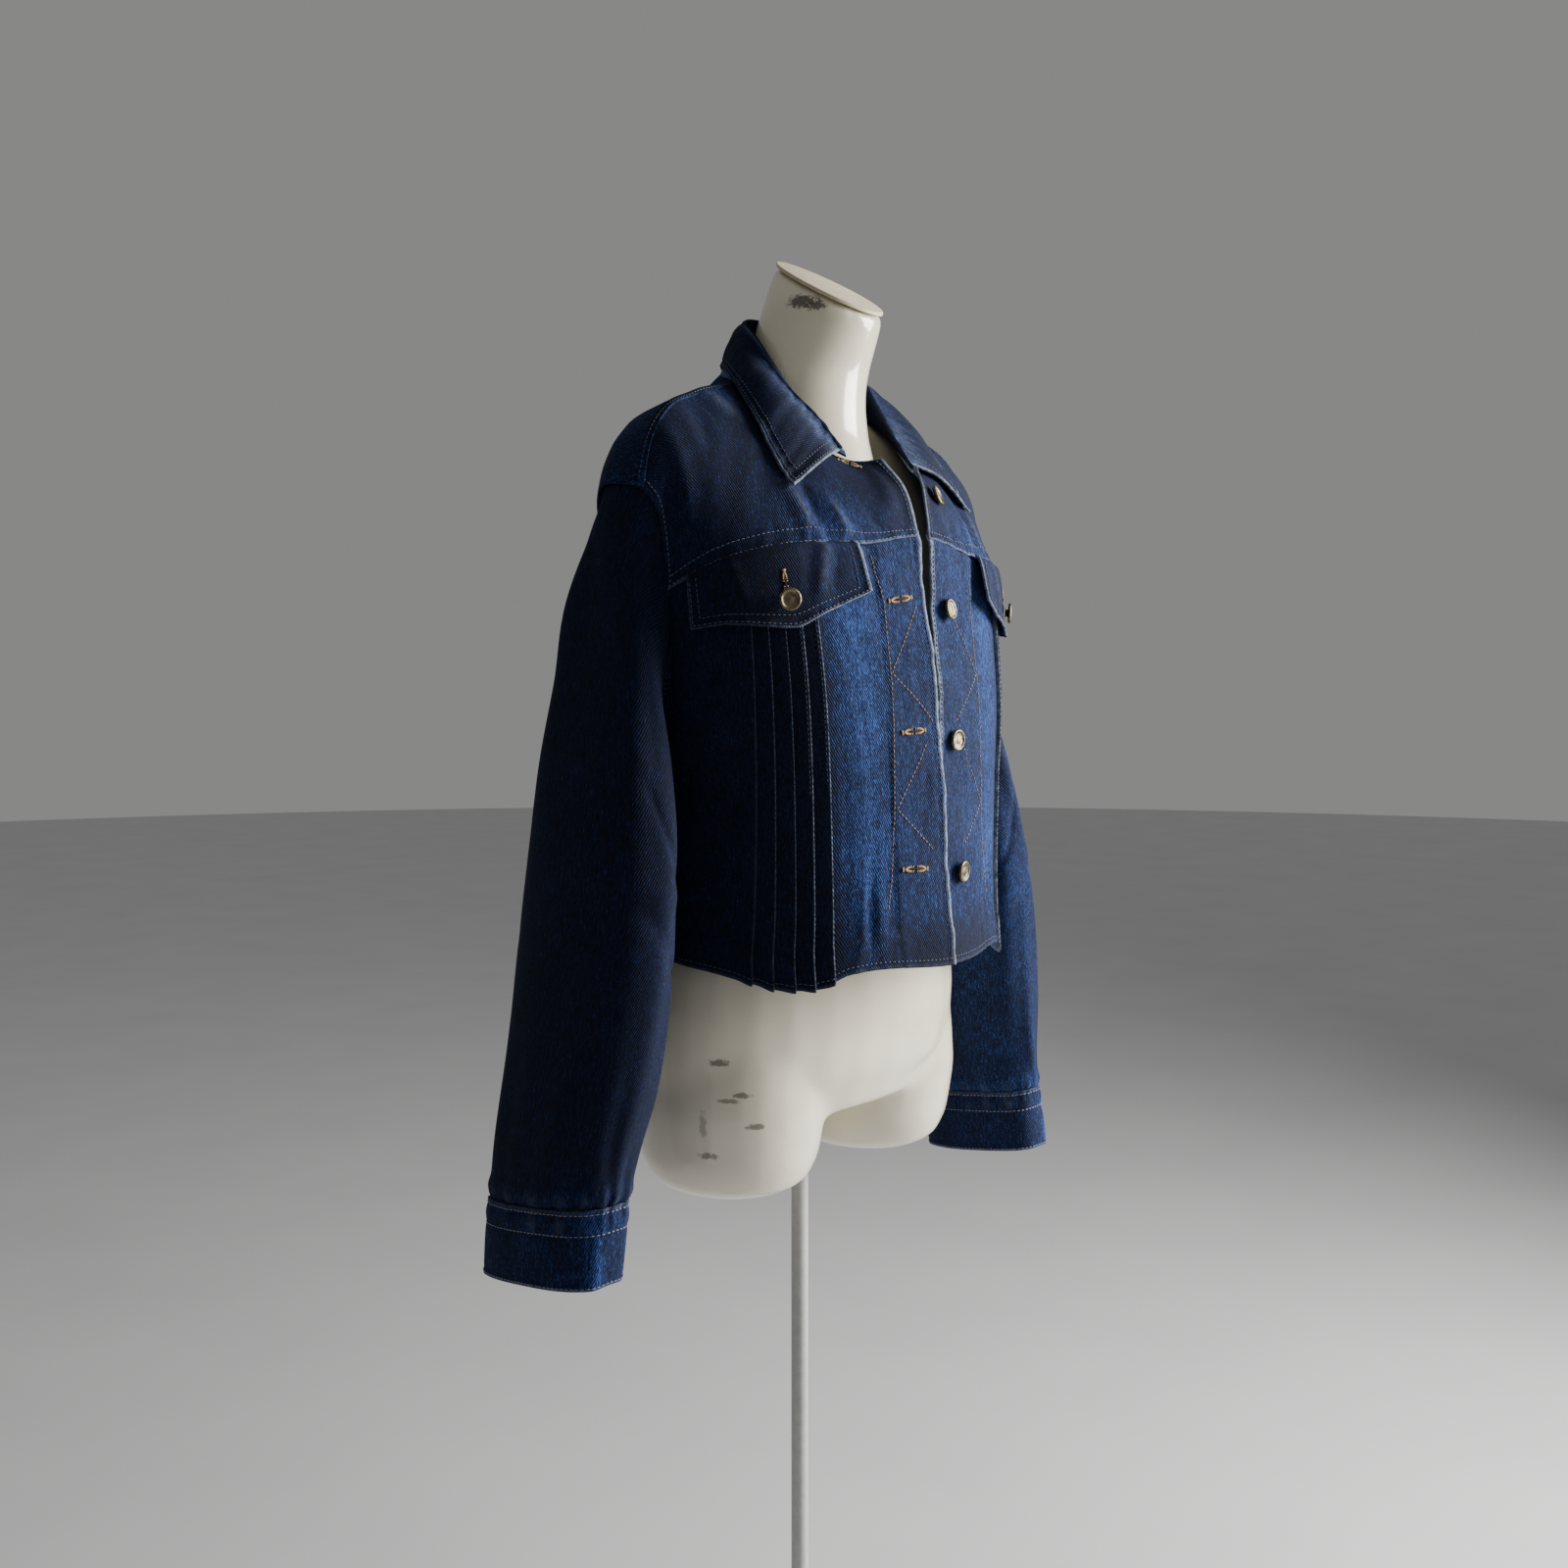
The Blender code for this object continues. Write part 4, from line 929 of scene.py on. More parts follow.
def cuffRelief(side):
    def relief(u, v):
        around = np.radians(u)
        pucker = puckers(around) + 0.7 * np.sin(29 * around + 2)
        lift = 0.0005 * pucker * fall(v, 0.02, 0.34) + 0.0006
        lift -= 0.0005 * (bump(v, 0.05, 0.035) + bump(v, 0.30, 0.035))
        lift += 0.0006 * bump(v, 0.17, 0.08)
        lift += 0.0010 * np.sin(3 * around + 1 + side) * ease(v, 0.3, 1.0)
        lift += 0.0016 * bump(fromTurn(u, 118), 0.0, 9.0) * ease(v, 0.2, 0.6)
        return lift - 0.0005 * bump(v, 0.93, 0.02) + 0.0004 * bump(v, 0.97, 0.02)
    return relief


def cuffPlace(side):
    def place(u, v):
        rings = np.stack([sleeveRing(side, size, u[0]) for size in sleeve["cuffRings"]])
        points = through(rings, v[:, 0])
        points[..., 2] = points[..., 2] + 0.0012 * fall(v, 0.0, 0.1)
        return points
    return place


def sleeveWear(u, v):
    return 0.08 * ease(v, 0.93, 0.99) * bump(puckers(np.radians(u)), 1.0, 0.6)


def sleeveFadeAndPaintedLight(side):
    def fadeAndPaintedLight(u, v):
        # painted light, with some faded indigo: the left sleeve, which faces the lamp, is made lighter than the
        # right one; both are lighter on the outer front and towards the cuff
        outer = bump(fromTurn(u, 60), 0.0, 75.0)
        amount = 0.05 + 0.08 * outer * bump(v, 0.55, 0.25) + 0.22 * ease(v, 0.88, 1.0)
        return amount + (0.26 * outer * ease(v, 0.05, 0.4) if side > 0 else 0.0)
    return fadeAndPaintedLight


def cuffWear(u, v):
    corner = bump(fromTurn(u, 40), 0.0, 30.0) + bump(fromTurn(u, 160), 0.0, 30.0)
    amount = 0.45 * ease(v, 0.975, 0.99) + 0.15 * fall(v, 0.02, 0.06)
    return amount + 0.12 * corner * bump(puckers(np.radians(u)), 1.0, 0.5) * bump(v, 0.17, 0.1)


def cuffFadeAndPaintedLight(u, v):
    # painted highlight: lighter along the raised fold at the cuff's front, over a little faded indigo
    return 0.28 + 0.35 * bump(fromTurn(u, 118), 0.0, 14.0)


sleeveTurns = np.linspace(0, 360, 145)
sleeveRows = np.concatenate((np.linspace(0, 0.02, 6), np.linspace(0.0265, 1.0, 168)))
cuffRows = np.concatenate((np.linspace(0, 0.4, 15), np.linspace(0.43, 1.0, 14)))
for side, label in sides:
    piece = clothPiece(f"sleeve_{label}_shell", sleevePlace(side), sleeveTurns, sleeveRows, sleeve["wall"],
                       sleeveRelief(side), sleeveWear, sleeveFadeAndPaintedLight(side), flip=side > 0, closed=True)
    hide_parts(f"sleeve_{label}")
    piece = clothPiece(f"cuff_{label}_band", cuffPlace(side), sleeveTurns, cuffRows, sleeve["cuffWall"],
                       cuffRelief(side), cuffWear, cuffFadeAndPaintedLight, flip=side > 0, closed=True)
    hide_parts(f"cuff_{label}")
print("sleeves and cuffs made")


# pocket flaps

flap = {"from": 22.5, "to": 67.0, "height": 0.050, "wall": 0.0020, "gap": 0.0012, "spring": 0.0030,
        "underSeam": 0.0015,
        "edge": ((22.5, 1.2400), (34.0, 1.2235), (42.5, 1.2120), (57.0, 1.2140), (67.0, 1.2105))}
flapEdge = tableCurve(flap["edge"])


def flapPlace(side):
    def place(u, v):
        # u in degrees; the lower corners are drawn out a little past the upper ones
        low = flapEdge(u)
        top = yokeSeam(u) - flap["underSeam"] + 0.004
        z = low + v * (top - low)
        phi = u + np.where(u < 30, -1.0, 0.0) * (1 - v) * fall(u, 22.5, 30) * 0.4
        lift = front["pleatStep"] + flap["wall"] + flap["gap"] + flap["spring"] * (1 - v) ** 2
        lift -= (front["pleatStep"] + 0.0004) * v**6 + 0.0034 * ease(v, 0.93, 1.0)
        return bodyPoint(side, phi, z, lift + overlapLift(side, phi))
    return place


def flapRelief(side):
    def relief(u, v):
        sideways = np.minimum(u - flap["from"], flap["to"] - u) * body["degree"]
        edge = np.minimum(sideways, v * flap["height"])
        lift = 0.0005 * bump(edge, 0.0, 0.002) - 0.0005 * bump(edge, 0.0055, 0.0010)
        lift += 0.0004 * ripple(u * 1.3, 91 + side, 4) * bump(edge, 0.003, 0.003)
        # curled corners and a sunken place round the button
        lift += 0.0022 * bump(u, 22.5, 3.5) * (1 - v) - 0.0010 * bump(u, 30.5, 2.5) * (1 - v)
        lift += 0.0018 * bump(u, 67.0, 3.0) * (1 - v)
        lift -= 0.0012 * np.exp(-((u - 42.5) / 4.5) ** 2 - ((v - 0.35) / 0.25) ** 2)
        between = ease(v, 0.1, 0.5) * fall(v, 0.9, 1.0)
        for at, slope, deep in ((31.0, -5.0, 1.3), (28.0, -4.0, -1.0), (35.0, -3.0, -0.9),
                                (55.0, 4.0, 0.8), (61.0, 3.0, -0.8)):
            lift += 0.001 * deep * bump(u + slope * (1 - v), at, 1.6) * between
        return lift
    return relief


def flapWear(u, v):
    amount = 0.85 * fall(v, 0.012, 0.030) * (0.15 + 0.85 * fall(u, 34, 50))
    amount += 0.95 * fall(u, 22.8, 23.3)
    amount += 0.15 * ease(u, 66.4, 66.8)
    return amount + 0.10 * bump(u + 5 * (v - 1), 31.0, 1.0) * ease(v, 0.2, 0.5)


def flapFadeAndPaintedLight(u, v):
    # painted light: lighter at the flap's front end, which faces the lamp, darker towards the side
    return 0.24 - 0.22 * ease(u, 30, 44)


flapColumns = np.concatenate((np.linspace(flap["from"], 23.4, 5), np.linspace(24.0, 66.2, 72),
                              np.linspace(66.6, flap["to"], 3)))
flapRows = np.concatenate((np.linspace(0, 0.05, 5), np.linspace(0.08, 1, 28)))
for side, label in sides:
    piece = clothPiece(f"pocketFlap_{label}", flapPlace(side), flapColumns, flapRows, flap["wall"],
                       flapRelief(side), flapWear, flapFadeAndPaintedLight, flip=side < 0)
    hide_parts(f"flap_{label}")
print("flaps made")


# collar: a low stand up to the fold, then the leaf lying on the yokes

collar = {
    "wall": 0.0020, "leafLift": 0.0042, "neckGap": 0.0018, "neckSink": 0.0038,
    "roll": 0.0030, "crest": 0.0022, "swell": (0.0060, 0.0045),
    "fold": ((0.046, -0.0810, 1.3530), (0.050, -0.0600, 1.3800), (0.059, -0.0400, 1.4030),
             (0.063, -0.0200, 1.4290), (0.059, 0.0000, 1.4500), (0.046, 0.0220, 1.4650),
             (0.025, 0.0365, 1.4740), (0.000, 0.0400, 1.4770)),
    "onYoke": ((0.480, 0.270), (0.525, 0.450), (0.540, 0.720)),
    "behind": ((0.091, -0.004, 1.4150), (0.068, 0.0250, 1.4290), (0.045, 0.0470, 1.4335),
               (0.024, 0.0600, 1.4340), (0.000, 0.0640, 1.4340)),
}


def yokeSpot(across, up, lift):
    a, b = np.meshgrid([across, across + 0.01], [up, up + 0.01])
    grid = frontYokePlace(1)(a, b)
    out = unit(np.cross(grid[0, 1] - grid[0, 0], grid[1, 0] - grid[0, 0]))
    return grid[0, 0] + out * lift, out


def collarCurves():
    spots = [yokeSpot(across, up, collar["leafLift"]) for across, up in collar["onYoke"]]
    behind = unit(np.array((0.0, 0.35, 0.94)))
    spots = spots + [(np.array(point), behind) for point in collar["behind"]]
    return np.array([spot for spot, _ in spots]), np.array([out for _, out in spots])


collarEdge, collarOut = collarCurves()


def collarPlace(u, v):
    # u from 0 at the right front end to 2 at the left one; v from the neck seam over the fold to the edge
    across, up = u[0], v[:, 0]
    side = np.where(across < 1, -1.0, 1.0)
    share = 1 - np.abs(1 - across)
    fold = through(collar["fold"], share)
    edge = through(collarEdge, share)
    out = unit(through(collarOut, share))
    neck = through(yoke["neckline"][1:], share)
    # at the back the seam sinks into the yoke, so that no light shows through it
    neck[:, 2] = neck[:, 2] + collar["neckGap"] - collar["neckSink"] * ease(share, 0.22, 0.42)
    away = edge - fold
    away[:, 2] = 0.0
    away = unit(away)
    inner = fold - away * collar["roll"]
    outer = fold + away * collar["roll"]
    crest = fold + np.array((0.0, 0.0, collar["crest"]))
    rows = np.stack((neck, (neck + inner) / 2, inner, crest, outer,
                     (2 * outer + edge) / 3 + out * collar["swell"][0],
                     (outer + 2 * edge) / 3 + out * collar["swell"][1], edge))
    rows[..., 0] = rows[..., 0] * side
    return through(rows, up)


def collarRelief(u, v):
    share = 1 - np.abs(1 - u)
    right = (u < 1).astype(float)
    leaf = ease(v, 0.55, 0.62)
    lift = 0.0006 * bump(v, 1.0, 0.014) - 0.0005 * bump(v, 0.955, 0.010)
    lift += 0.0005 * bump(share, 0.0, 0.012) * leaf - 0.0005 * bump(share, 0.042, 0.008) * leaf
    # small puckers by the stitching and near the neck end of the fold
    lift += 0.0005 * ripple(share * 130, 95, 4) * bump(v, 0.97, 0.03)
    lift += 0.0011 * ripple(share * 70 + 8 * v, 96, 4) * bump(v, 0.62, 0.10) * fall(share, 0.10, 0.55)
    lift += 0.0008 * ripple(share * 45 + 5 * v, 97, 4) * leaf
    # the leaf bows, and its points lift a little
    lift += 0.0022 * bump(share, 0.30, 0.16) * bump(v, 0.80, 0.12) - 0.0012 * bump(share, 0.12, 0.07) * leaf
    lift += 0.0010 * bump(share, 0.0, 0.05) * bump(v, 1.0, 0.08) * (0.6 + 0.4 * right)
    lift += 0.0016 * bump(share, 0.62, 0.10) * bump(v, 0.85, 0.12)
    return lift - 0.0015 * bump(share, 0.80, 0.08) * bump(v, 0.85, 0.1)


def collarWear(u, v):
    share = 1 - np.abs(1 - u)
    leaf = ease(v, 0.45, 0.55)
    amount = 0.5 * ease(v, 0.988, 0.996) * (0.25 + 0.75 * fall(share, 0.1, 0.35))
    amount += 0.9 * fall(share, 0.004, 0.011) * leaf
    amount += 0.20 * bump(v, 0.48, 0.04) * (0.4 + 0.6 * fall(share, 0.2, 0.5))
    return amount + 0.16 * bump(v, 0.62, 0.05) * fall(share, 0.10, 0.42)


def collarFadeAndPaintedLight(u, v):
    # painted highlight: lighter along the collar's fold towards the front, over a little faded indigo
    share = 1 - np.abs(1 - u)
    return 0.10 + 0.30 * bump(v, 0.60, 0.08) * fall(share, 0.2, 0.6) + 0.12 * bump(v, 0.45, 0.08)


collarColumns = np.concatenate((np.linspace(0, 0.02, 5), np.linspace(0.028, 1.972, 190), np.linspace(1.98, 2.0, 5)))
collarRows = np.concatenate((np.linspace(0, 0.30, 14), np.linspace(0.32, 0.56, 18),
                             np.linspace(0.58, 0.95, 26), np.linspace(0.96, 1.0, 8)))
piece = clothPiece("collarPiece", collarPlace, collarColumns, collarRows, collar["wall"], collarRelief,
                   collarWear, collarFadeAndPaintedLight)
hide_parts("collar")
print("collar made")


# stitches: one joined mesh for each row of thread, each stitch a small stretched bead

stitch = {"length": 0.0030, "gap": 0.0009, "thick": 0.00062, "proud": 0.0002}


def stitchPath(bm, name, path, size=None):
    # path is (u, v) corners on a cloth piece; stitches are set along it by their real length
    size = dict(stitch, **(size or {}))
    corners = np.asarray(path, dtype=float)
    legs = [np.linspace(a, b, 120, endpoint=False) for a, b in zip(corners, corners[1:])]
    fine = np.concatenate(legs + [corners[-1:]])
    place, out = onPiece(name, fine[:, 0], fine[:, 1], size["proud"])
    run = np.concatenate(([0.0], np.cumsum(np.linalg.norm(np.diff(place, axis=0), axis=1))))
    pitch = size["length"] + size["gap"]
    count = int(run[-1] / pitch)
    for k in range(count):
        at = np.array([(k + 0.06) * pitch, (k + 0.06) * pitch + size["length"]])
        ends = np.stack([np.interp(at, run, place[:, axis]) for axis in range(3)], axis=-1)
        lift = np.array([np.interp(at.mean(), run, out[:, axis]) for axis in range(3)])
        addStitch(bm, ends[0], ends[1], lift, size["thick"])


def addStitch(bm, first, last, out, thick):
    along = Vector(last - first)
    length = along.length
    if length < 1e-6:
        return
    along.normalize()
    up = Vector(out)
    side = along.cross(up).normalized()
    up = side.cross(along).normalized()
    middle = Vector((first + last) / 2)
    spin = Matrix((side, along, up)).transposed().to_4x4()
    shape = Matrix.Diagonal((thick * 0.62, length * 0.56, thick * 0.55, 1.0))
    bmesh.ops.create_icosphere(bm, subdivisions=1, radius=1.0, matrix=Matrix.Translation(middle) @ spin @ shape)


seams = {"edge": 0.0035, "degree": 0.0027}


def edgeLine(side, inset):
    # u of a line that runs inset metres in from a front edge
    return float(edgePhi(side, 0.957)) + inset / seams["degree"]


for side, label in sides:
    panel = f"frontPanel_{label}"
    tan = bmesh.new()
    # the facing's stitch line, the lines that cross it, and the row by the front edge
    facing = [(22.0, 0.135), (20.5, 0.21), (19.0, 0.355), (18.0, 0.575), (17.3, 0.70), (16.6, 0.86), (19.0, 0.972)]
    stitchPath(tan, panel, facing)
    stitchPath(tan, panel, [(5.5, 0.835), (17.0, 0.690), (3.2, 0.560)])
    stitchPath(tan, panel, [(7.2, 0.515), (18.2, 0.370), (6.5, 0.268)])
    finishPiece(tan, f"facingStitches_{label}", "tanThread")
    pale = bmesh.new()
    rowEdge = edgeLine(side, seams["edge"])
    stitchPath(pale, panel, [(rowEdge, 0.012), (rowEdge, 0.970)])
    stitchPath(pale, panel, [(rowEdge, 0.016), (60.0, 0.016), (95.0, 0.016)])
    for at, low, high in zip(front["pleatHems"], (0.46, 0.44), (0.86, 0.84)):
        stitchPath(pale, panel, [(at + 0.75, low), (at + 0.75, high)], {"thick": 0.0004})
    finishPiece(pale, f"panelStitches_{label}", "dimThread")
    yokeName = f"frontYoke_{label}"
    rows = bmesh.new()
    for up in (0.016, 0.075):
        stitchPath(rows, yokeName, [(0.01, up), (0.99, up)])
    stitchPath(rows, yokeName, [(0.020, 0.02), (0.020, 0.985), (0.19, 0.985)])
    stitchPath(rows, yokeName, [(0.975, 0.03), (0.975, 0.97)])
    stitchPath(rows, yokeName, [(0.42, 0.975), (0.985, 0.975)])
    stitchPath(rows, panel, [(83.0, 0.985), (86.0, 0.982), (90.0, 0.980), (94.0, 0.978)])
    finishPiece(rows, f"yokeStitches_{label}", "seamThread")
    flapName = f"pocketFlap_{label}"
    rows = bmesh.new()
    for inset in (0.0022, 0.0075):
        low, high = flap["from"] + inset / body["degree"], flap["to"] - inset / body["degree"]
        up = inset / flap["height"]
        stitchPath(rows, flapName, [(low, 0.88), (low, up), (42.5, up), (high, up), (high, 0.9)])
    finishPiece(rows, f"flapStitches_{label}", "dimThread")
    rows = bmesh.new()
    for up in (0.045, 0.300):
        stitchPath(rows, f"cuff_{label}_band", [(0, up), (180, up), (359.9, up)], {"thick": 0.00075})
    stitchPath(rows, f"cuff_{label}_band", [(0, 0.965), (180, 0.965), (359.9, 0.965)], {"thick": 0.0005})
    finishPiece(rows, f"cuffStitches_{label}", "paleThread")
rows = bmesh.new()
for up in (0.020, 0.075):
    stitchPath(rows, "backYoke", [(0.01, up), (1.0, up), (1.99, up)])
stitchPath(rows, "backPanel", [(-0.99, 0.016), (0.0, 0.016), (0.99, 0.016)])
finishPiece(rows, "backStitches", "seamThread")
rows = bmesh.new()
stitchPath(rows, "collarPiece", [(0.014, 0.60), (0.014, 0.975), (1.0, 0.975), (1.986, 0.975), (1.986, 0.60)])
stitchPath(rows, "collarPiece", [(0.045, 0.60), (0.045, 0.935), (1.0, 0.935), (1.955, 0.935), (1.955, 0.60)])
finishPiece(rows, "collarStitches", "dimThread")
print("stitching made")


# buttonholes: a slit with thread worked round it, and bars of thread

buttonhole = {"length": 0.0225, "width": 0.0052, "bars": 46, "thick": 0.0009}


def workedHole(bm, slitShades, name, u, v, along, sizes=None):
    # along is the (du, dv) of the slit's whole length
    sizes = dict(buttonhole, **(sizes or {}))
    middle, out = onPiece(name, u, v, 0.0004)
    ends, _ = onPiece(name, [u - along[0] / 2, u + along[0] / 2], [v - along[1] / 2, v + along[1] / 2])
    direction = unit(ends[1] - ends[0])
    out = out[0]
    cross = unit(np.cross(out, direction))
    half = sizes["length"] / 2 - sizes["width"] / 2
    for k in range(sizes["bars"]):
        turn = 2 * math.pi * k / sizes["bars"]
        x = math.copysign(abs(math.cos(turn)) ** 0.55, math.cos(turn)) * half
        y = math.sin(turn)
        inner = middle[0] + direction * x * 0.93 + cross * y * sizes["width"] * 0.13
        past = x + math.cos(turn) * sizes["width"] * 0.38
        outer = middle[0] + direction * past + cross * y * sizes["width"] * 0.55
        addStitch(bm, inner, outer, out, sizes["thick"])
    for end in (-1, 1):
        tip = middle[0] + direction * end * (half + sizes["width"] * 0.62)
        for shift in (-0.35, 0.0, 0.35):
            at = tip + direction * shift * sizes["thick"] * 1.3
            reach = cross * sizes["width"] * 0.42
            addStitch(bm, at - reach, at + reach, out, sizes["thick"])
    # painted shade: a near-black bead along the slit stands in for the shadow inside the cut
    addStitch(slitShades, middle[0] - direction * half, middle[0] + direction * half, out, 0.0007)


slitShadeMaterial, slitShadeShader = newMaterial("paintedButtonholeShade")   # painted shade: near black, standing in for the shadow deep in each buttonhole's cut
setShader(slitShadeShader, {"Base Color": linear("#0b0d14"), "Roughness": 0.95})
materials["slitShade"] = slitShadeMaterial
holes, slitShades = bmesh.new(), bmesh.new()
for u, v in ((11.0, 0.857), (11.4, 0.548), (13.2, 0.228)):
    workedHole(holes, slitShades, "frontPanel_right", u, v, (7.0, 0.0))
workedHole(holes, slitShades, "frontYoke_right", 0.115, 0.90, (0.10, 0.0), {"length": 0.017})
# the holes in the flaps are upright and narrower
for label in ("right", "left"):
    workedHole(holes, slitShades, f"pocketFlap_{label}", 42.5, 0.52, (0.0, 0.30),
               {"length": 0.019, "width": 0.0038, "bars": 38})
finishPiece(holes, "buttonholeThread", "tanThread")
finishPiece(slitShades, "buttonholeSlits", "slitShade")
bars = bmesh.new()
for label in ("right", "left"):
    panel = f"frontPanel_{label}"
    for u, v in ((38.1, 0.452), (43.1, 0.475)):
        for k in range(-3, 4):
            ends, out = onPiece(panel, [u - 0.7, u + 0.7], [v + 0.0016 * k, v + 0.0016 * k], 0.0004)
            addStitch(bars, ends[0], ends[1], out[0], 0.0007)
finishPiece(bars, "pleatBars", "dimThread")
print("buttonholes made")


# buttons: antique brass jacket buttons, a dished cap with a rolled rim on a shank

button = {"radius": 0.0087, "height": 0.0050, "segments": 48, "line": 0.016,
          "heights": (1.026, 1.128, 1.230), "leans": ((0.10, 0, -0.12), (-0.06, 0, -0.10), (0.12, 0, 0.04)),
          "top": (0.09, 0.525), "flapSpot": (42.5, 1.2325), "seat": 0.0004}


def brassMaterial(name):
    # cast brass, darkened and rubbed bright again: brown-green and pewter mixed in fine spots, rougher where darker
    material, shader = newMaterial(name)
    colour, spots, _ = speckled(material, 420.0, 5.0, 0.7, (0.32, linear("#3a3327")), (0.68, linear("#857b66")))
    join(material, colour, shader, "Base Color")
    rough = addNode(material, "ShaderNodeMapRange", {}, {
        "Value": spots, "From Min": 0.3, "From Max": 0.7, "To Min": 0.55, "To Max": 0.28})
    join(material, rough.outputs["Result"], shader, "Roughness")
    relief = addNode(material, "ShaderNodeBump", {}, {
        "Height": spots, "Strength": 0.25, "Distance": 0.0002})
    join(material, relief.outputs["Normal"], shader, "Normal")
    setShader(shader, {"Metallic": 1.0})
    return material


materials["brass"] = brassMaterial("antiqueBrass")


def turnedButton(name, place, out, replaces):
    # the profile is spun round its own axis, then set on the surface
    bm = bmesh.new()
    line = [bm.verts.new((radius, 0.0, height)) for radius, height in buttonProfile()]
    edges = [bm.edges.new(pair) for pair in zip(line, line[1:])]
    bmesh.ops.spin(bm, geom=line + edges, cent=(0, 0, 0), axis=(0, 0, 1), angle=2 * math.pi,
                   steps=button["segments"], use_merge=True)
    bmesh.ops.remove_doubles(bm, verts=bm.verts, dist=0.00001)
    bmesh.ops.recalc_face_normals(bm, faces=bm.faces)
    turn = Vector(out).to_track_quat("Z", "Y").to_matrix().to_4x4()
    bmesh.ops.transform(bm, matrix=Matrix.Translation(Vector(place)) @ turn, verts=bm.verts)
    piece = finishPiece(bm, name, "brass", replaces)
    bevel = piece.modifiers.new("softEdges", "BEVEL")
    bevel.width = 0.00025
    bevel.segments = 2
    bevel.limit_method = "ANGLE"
    bevel.angle_limit = math.radians(35)


def buttonProfile():
    r, h = button["radius"], button["height"]
    return [(0.0, h - 0.0002), (r * 0.18, h - 0.0001), (r * 0.30, h - 0.0004), (r * 0.42, h - 0.0005),
            (r * 0.62, h - 0.0004), (r * 0.70, h - 0.0002), (r * 0.76, h + 0.0004), (r * 0.86, h + 0.0006),
            (r * 0.95, h + 0.0001), (r, h - 0.0008), (r * 0.98, h - 0.0016), (r * 0.90, h - 0.0022),
            (0.0036, h - 0.0024), (0.0030, h - 0.0032), (0.0030, 0.0010), (0.0042, 0.0002), (0.0, 0.0)]


def faceFrame(sample):
    place = sample(0.0, 0.0)
    across, up = sample(0.5, 0.0) - place, sample(0.0, 0.003) - place
    return place, unit(np.cross(across, up))


def tilted(out, lean):
    return unit(np.asarray(out) + np.asarray(lean))


for number, (height, lean) in enumerate(zip(button["heights"], button["leans"]), 1):
    phi = math.degrees(math.asin(button["line"] / float(bodySize(height)[0]))) + (2.0 if height > 1.2 else 0.0)
    place, out = faceFrame(lambda turn, rise: bodyPoint(1, phi + turn, height + rise, 0.0))
    place = place + out * button["seat"]
    turnedButton(f"jacketButton_{number}", place, tilted(out, lean), f"front_button_{number}")
place, out = yokeSpot(*button["top"], 0.0008)
turnedButton("jacketButton_4", place, tilted(out, (0.05, 0, -0.1)), "front_button_4")
faceLift = front["pleatStep"] + flap["wall"] + flap["gap"] + 0.5 * flap["spring"] - 0.0002
for side, label in sides:
    place, out = faceFrame(lambda turn, rise: bodyPoint(1, button["flapSpot"][0] + turn,
                                                        button["flapSpot"][1] + rise, faceLift))
    place, out = mirrored(side, place + out * button["seat"]), mirrored(side, out)
    turnedButton(f"pocketButton_{label}", place, tilted(out, (0, 0, -0.08)), f"flap_button_{label}")
print("buttons made")


# torso form, cap and stand

form = {"voxel": 0.0045, "rounds": 14, "scuffs": (
    # x, y, z of the mark's middle, its half sizes along x, y and z, how dark
    (-0.146, -0.044, 0.889, 0.013, 0.013, 0.0045, 0.75), (-0.136, -0.058, 0.865, 0.010, 0.010, 0.0035, 0.70),
    (-0.142, -0.051, 0.861, 0.013, 0.013, 0.0030, 0.60), (-0.1285, -0.0655, 0.8415, 0.011, 0.011, 0.0040, 0.75),
    (-0.149, -0.0355, 0.8185, 0.012, 0.012, 0.0040, 0.65), (-0.1525, -0.034, 0.841, 0.005, 0.005, 0.0170, 0.40),
), "chip": (
    (-0.0445, -0.040, 1.4765, 0.021, 0.021, 0.0090, 0.9), (-0.040, -0.050, 1.472, 0.015, 0.012, 0.0060, 0.85),
)}


def formMaterial(name):
    # fibreglass shell with a gloss gelcoat: warm ivory, mirror-like highlights, a few dark scuffs
    material, shader = newMaterial(name)
    colour, _, place = speckled(material, 9.0, 4.0, 0.55, (0.30, linear("#dcd5be")), (0.70, linear("#ebe5d0")))
    fray = addNode(material, "ShaderNodeTexNoise", {}, {
        "Vector": place, "Scale": 260.0, "Detail": 4.0, "Roughness": 0.75})
    for x, y, z, wide, deep, high, dark in form["scuffs"] + form["chip"]:
        spot = addNode(material, "ShaderNodeMapping", {"vector_type": "POINT"}, {
            "Vector": place, "Location": (-x / wide, -y / deep, -z / high),
            "Scale": (1 / wide, 1 / deep, 1 / high)})
        away = addNode(material, "ShaderNodeVectorMath", {"operation": "LENGTH"}, {0: spot.outputs["Vector"]})
        ragged = scaled(material, fray.outputs["Fac"], 1.6, away.outputs["Value"])
        mask = addNode(material, "ShaderNodeMapRange", {}, {
            "Value": ragged, "From Min": 1.22, "From Max": 1.50, "To Min": dark, "To Max": 0.0})
        mixed = addNode(material, "ShaderNodeMix", {"data_type": "RGBA"}, {
            0: mask.outputs["Result"], 6: colour, 7: linear("#4c473c")})
        colour = mixed.outputs[2]
    join(material, colour, shader, "Base Color")
    setShader(shader, {"Roughness": 0.16, "IOR": 1.5, "Specular IOR Level": 0.5, "Coat Weight": 0.35,
                       "Coat Roughness": 0.06, "Subsurface Weight": 0.0})
    return material


materials["ivory"] = formMaterial("ivoryGelcoat")


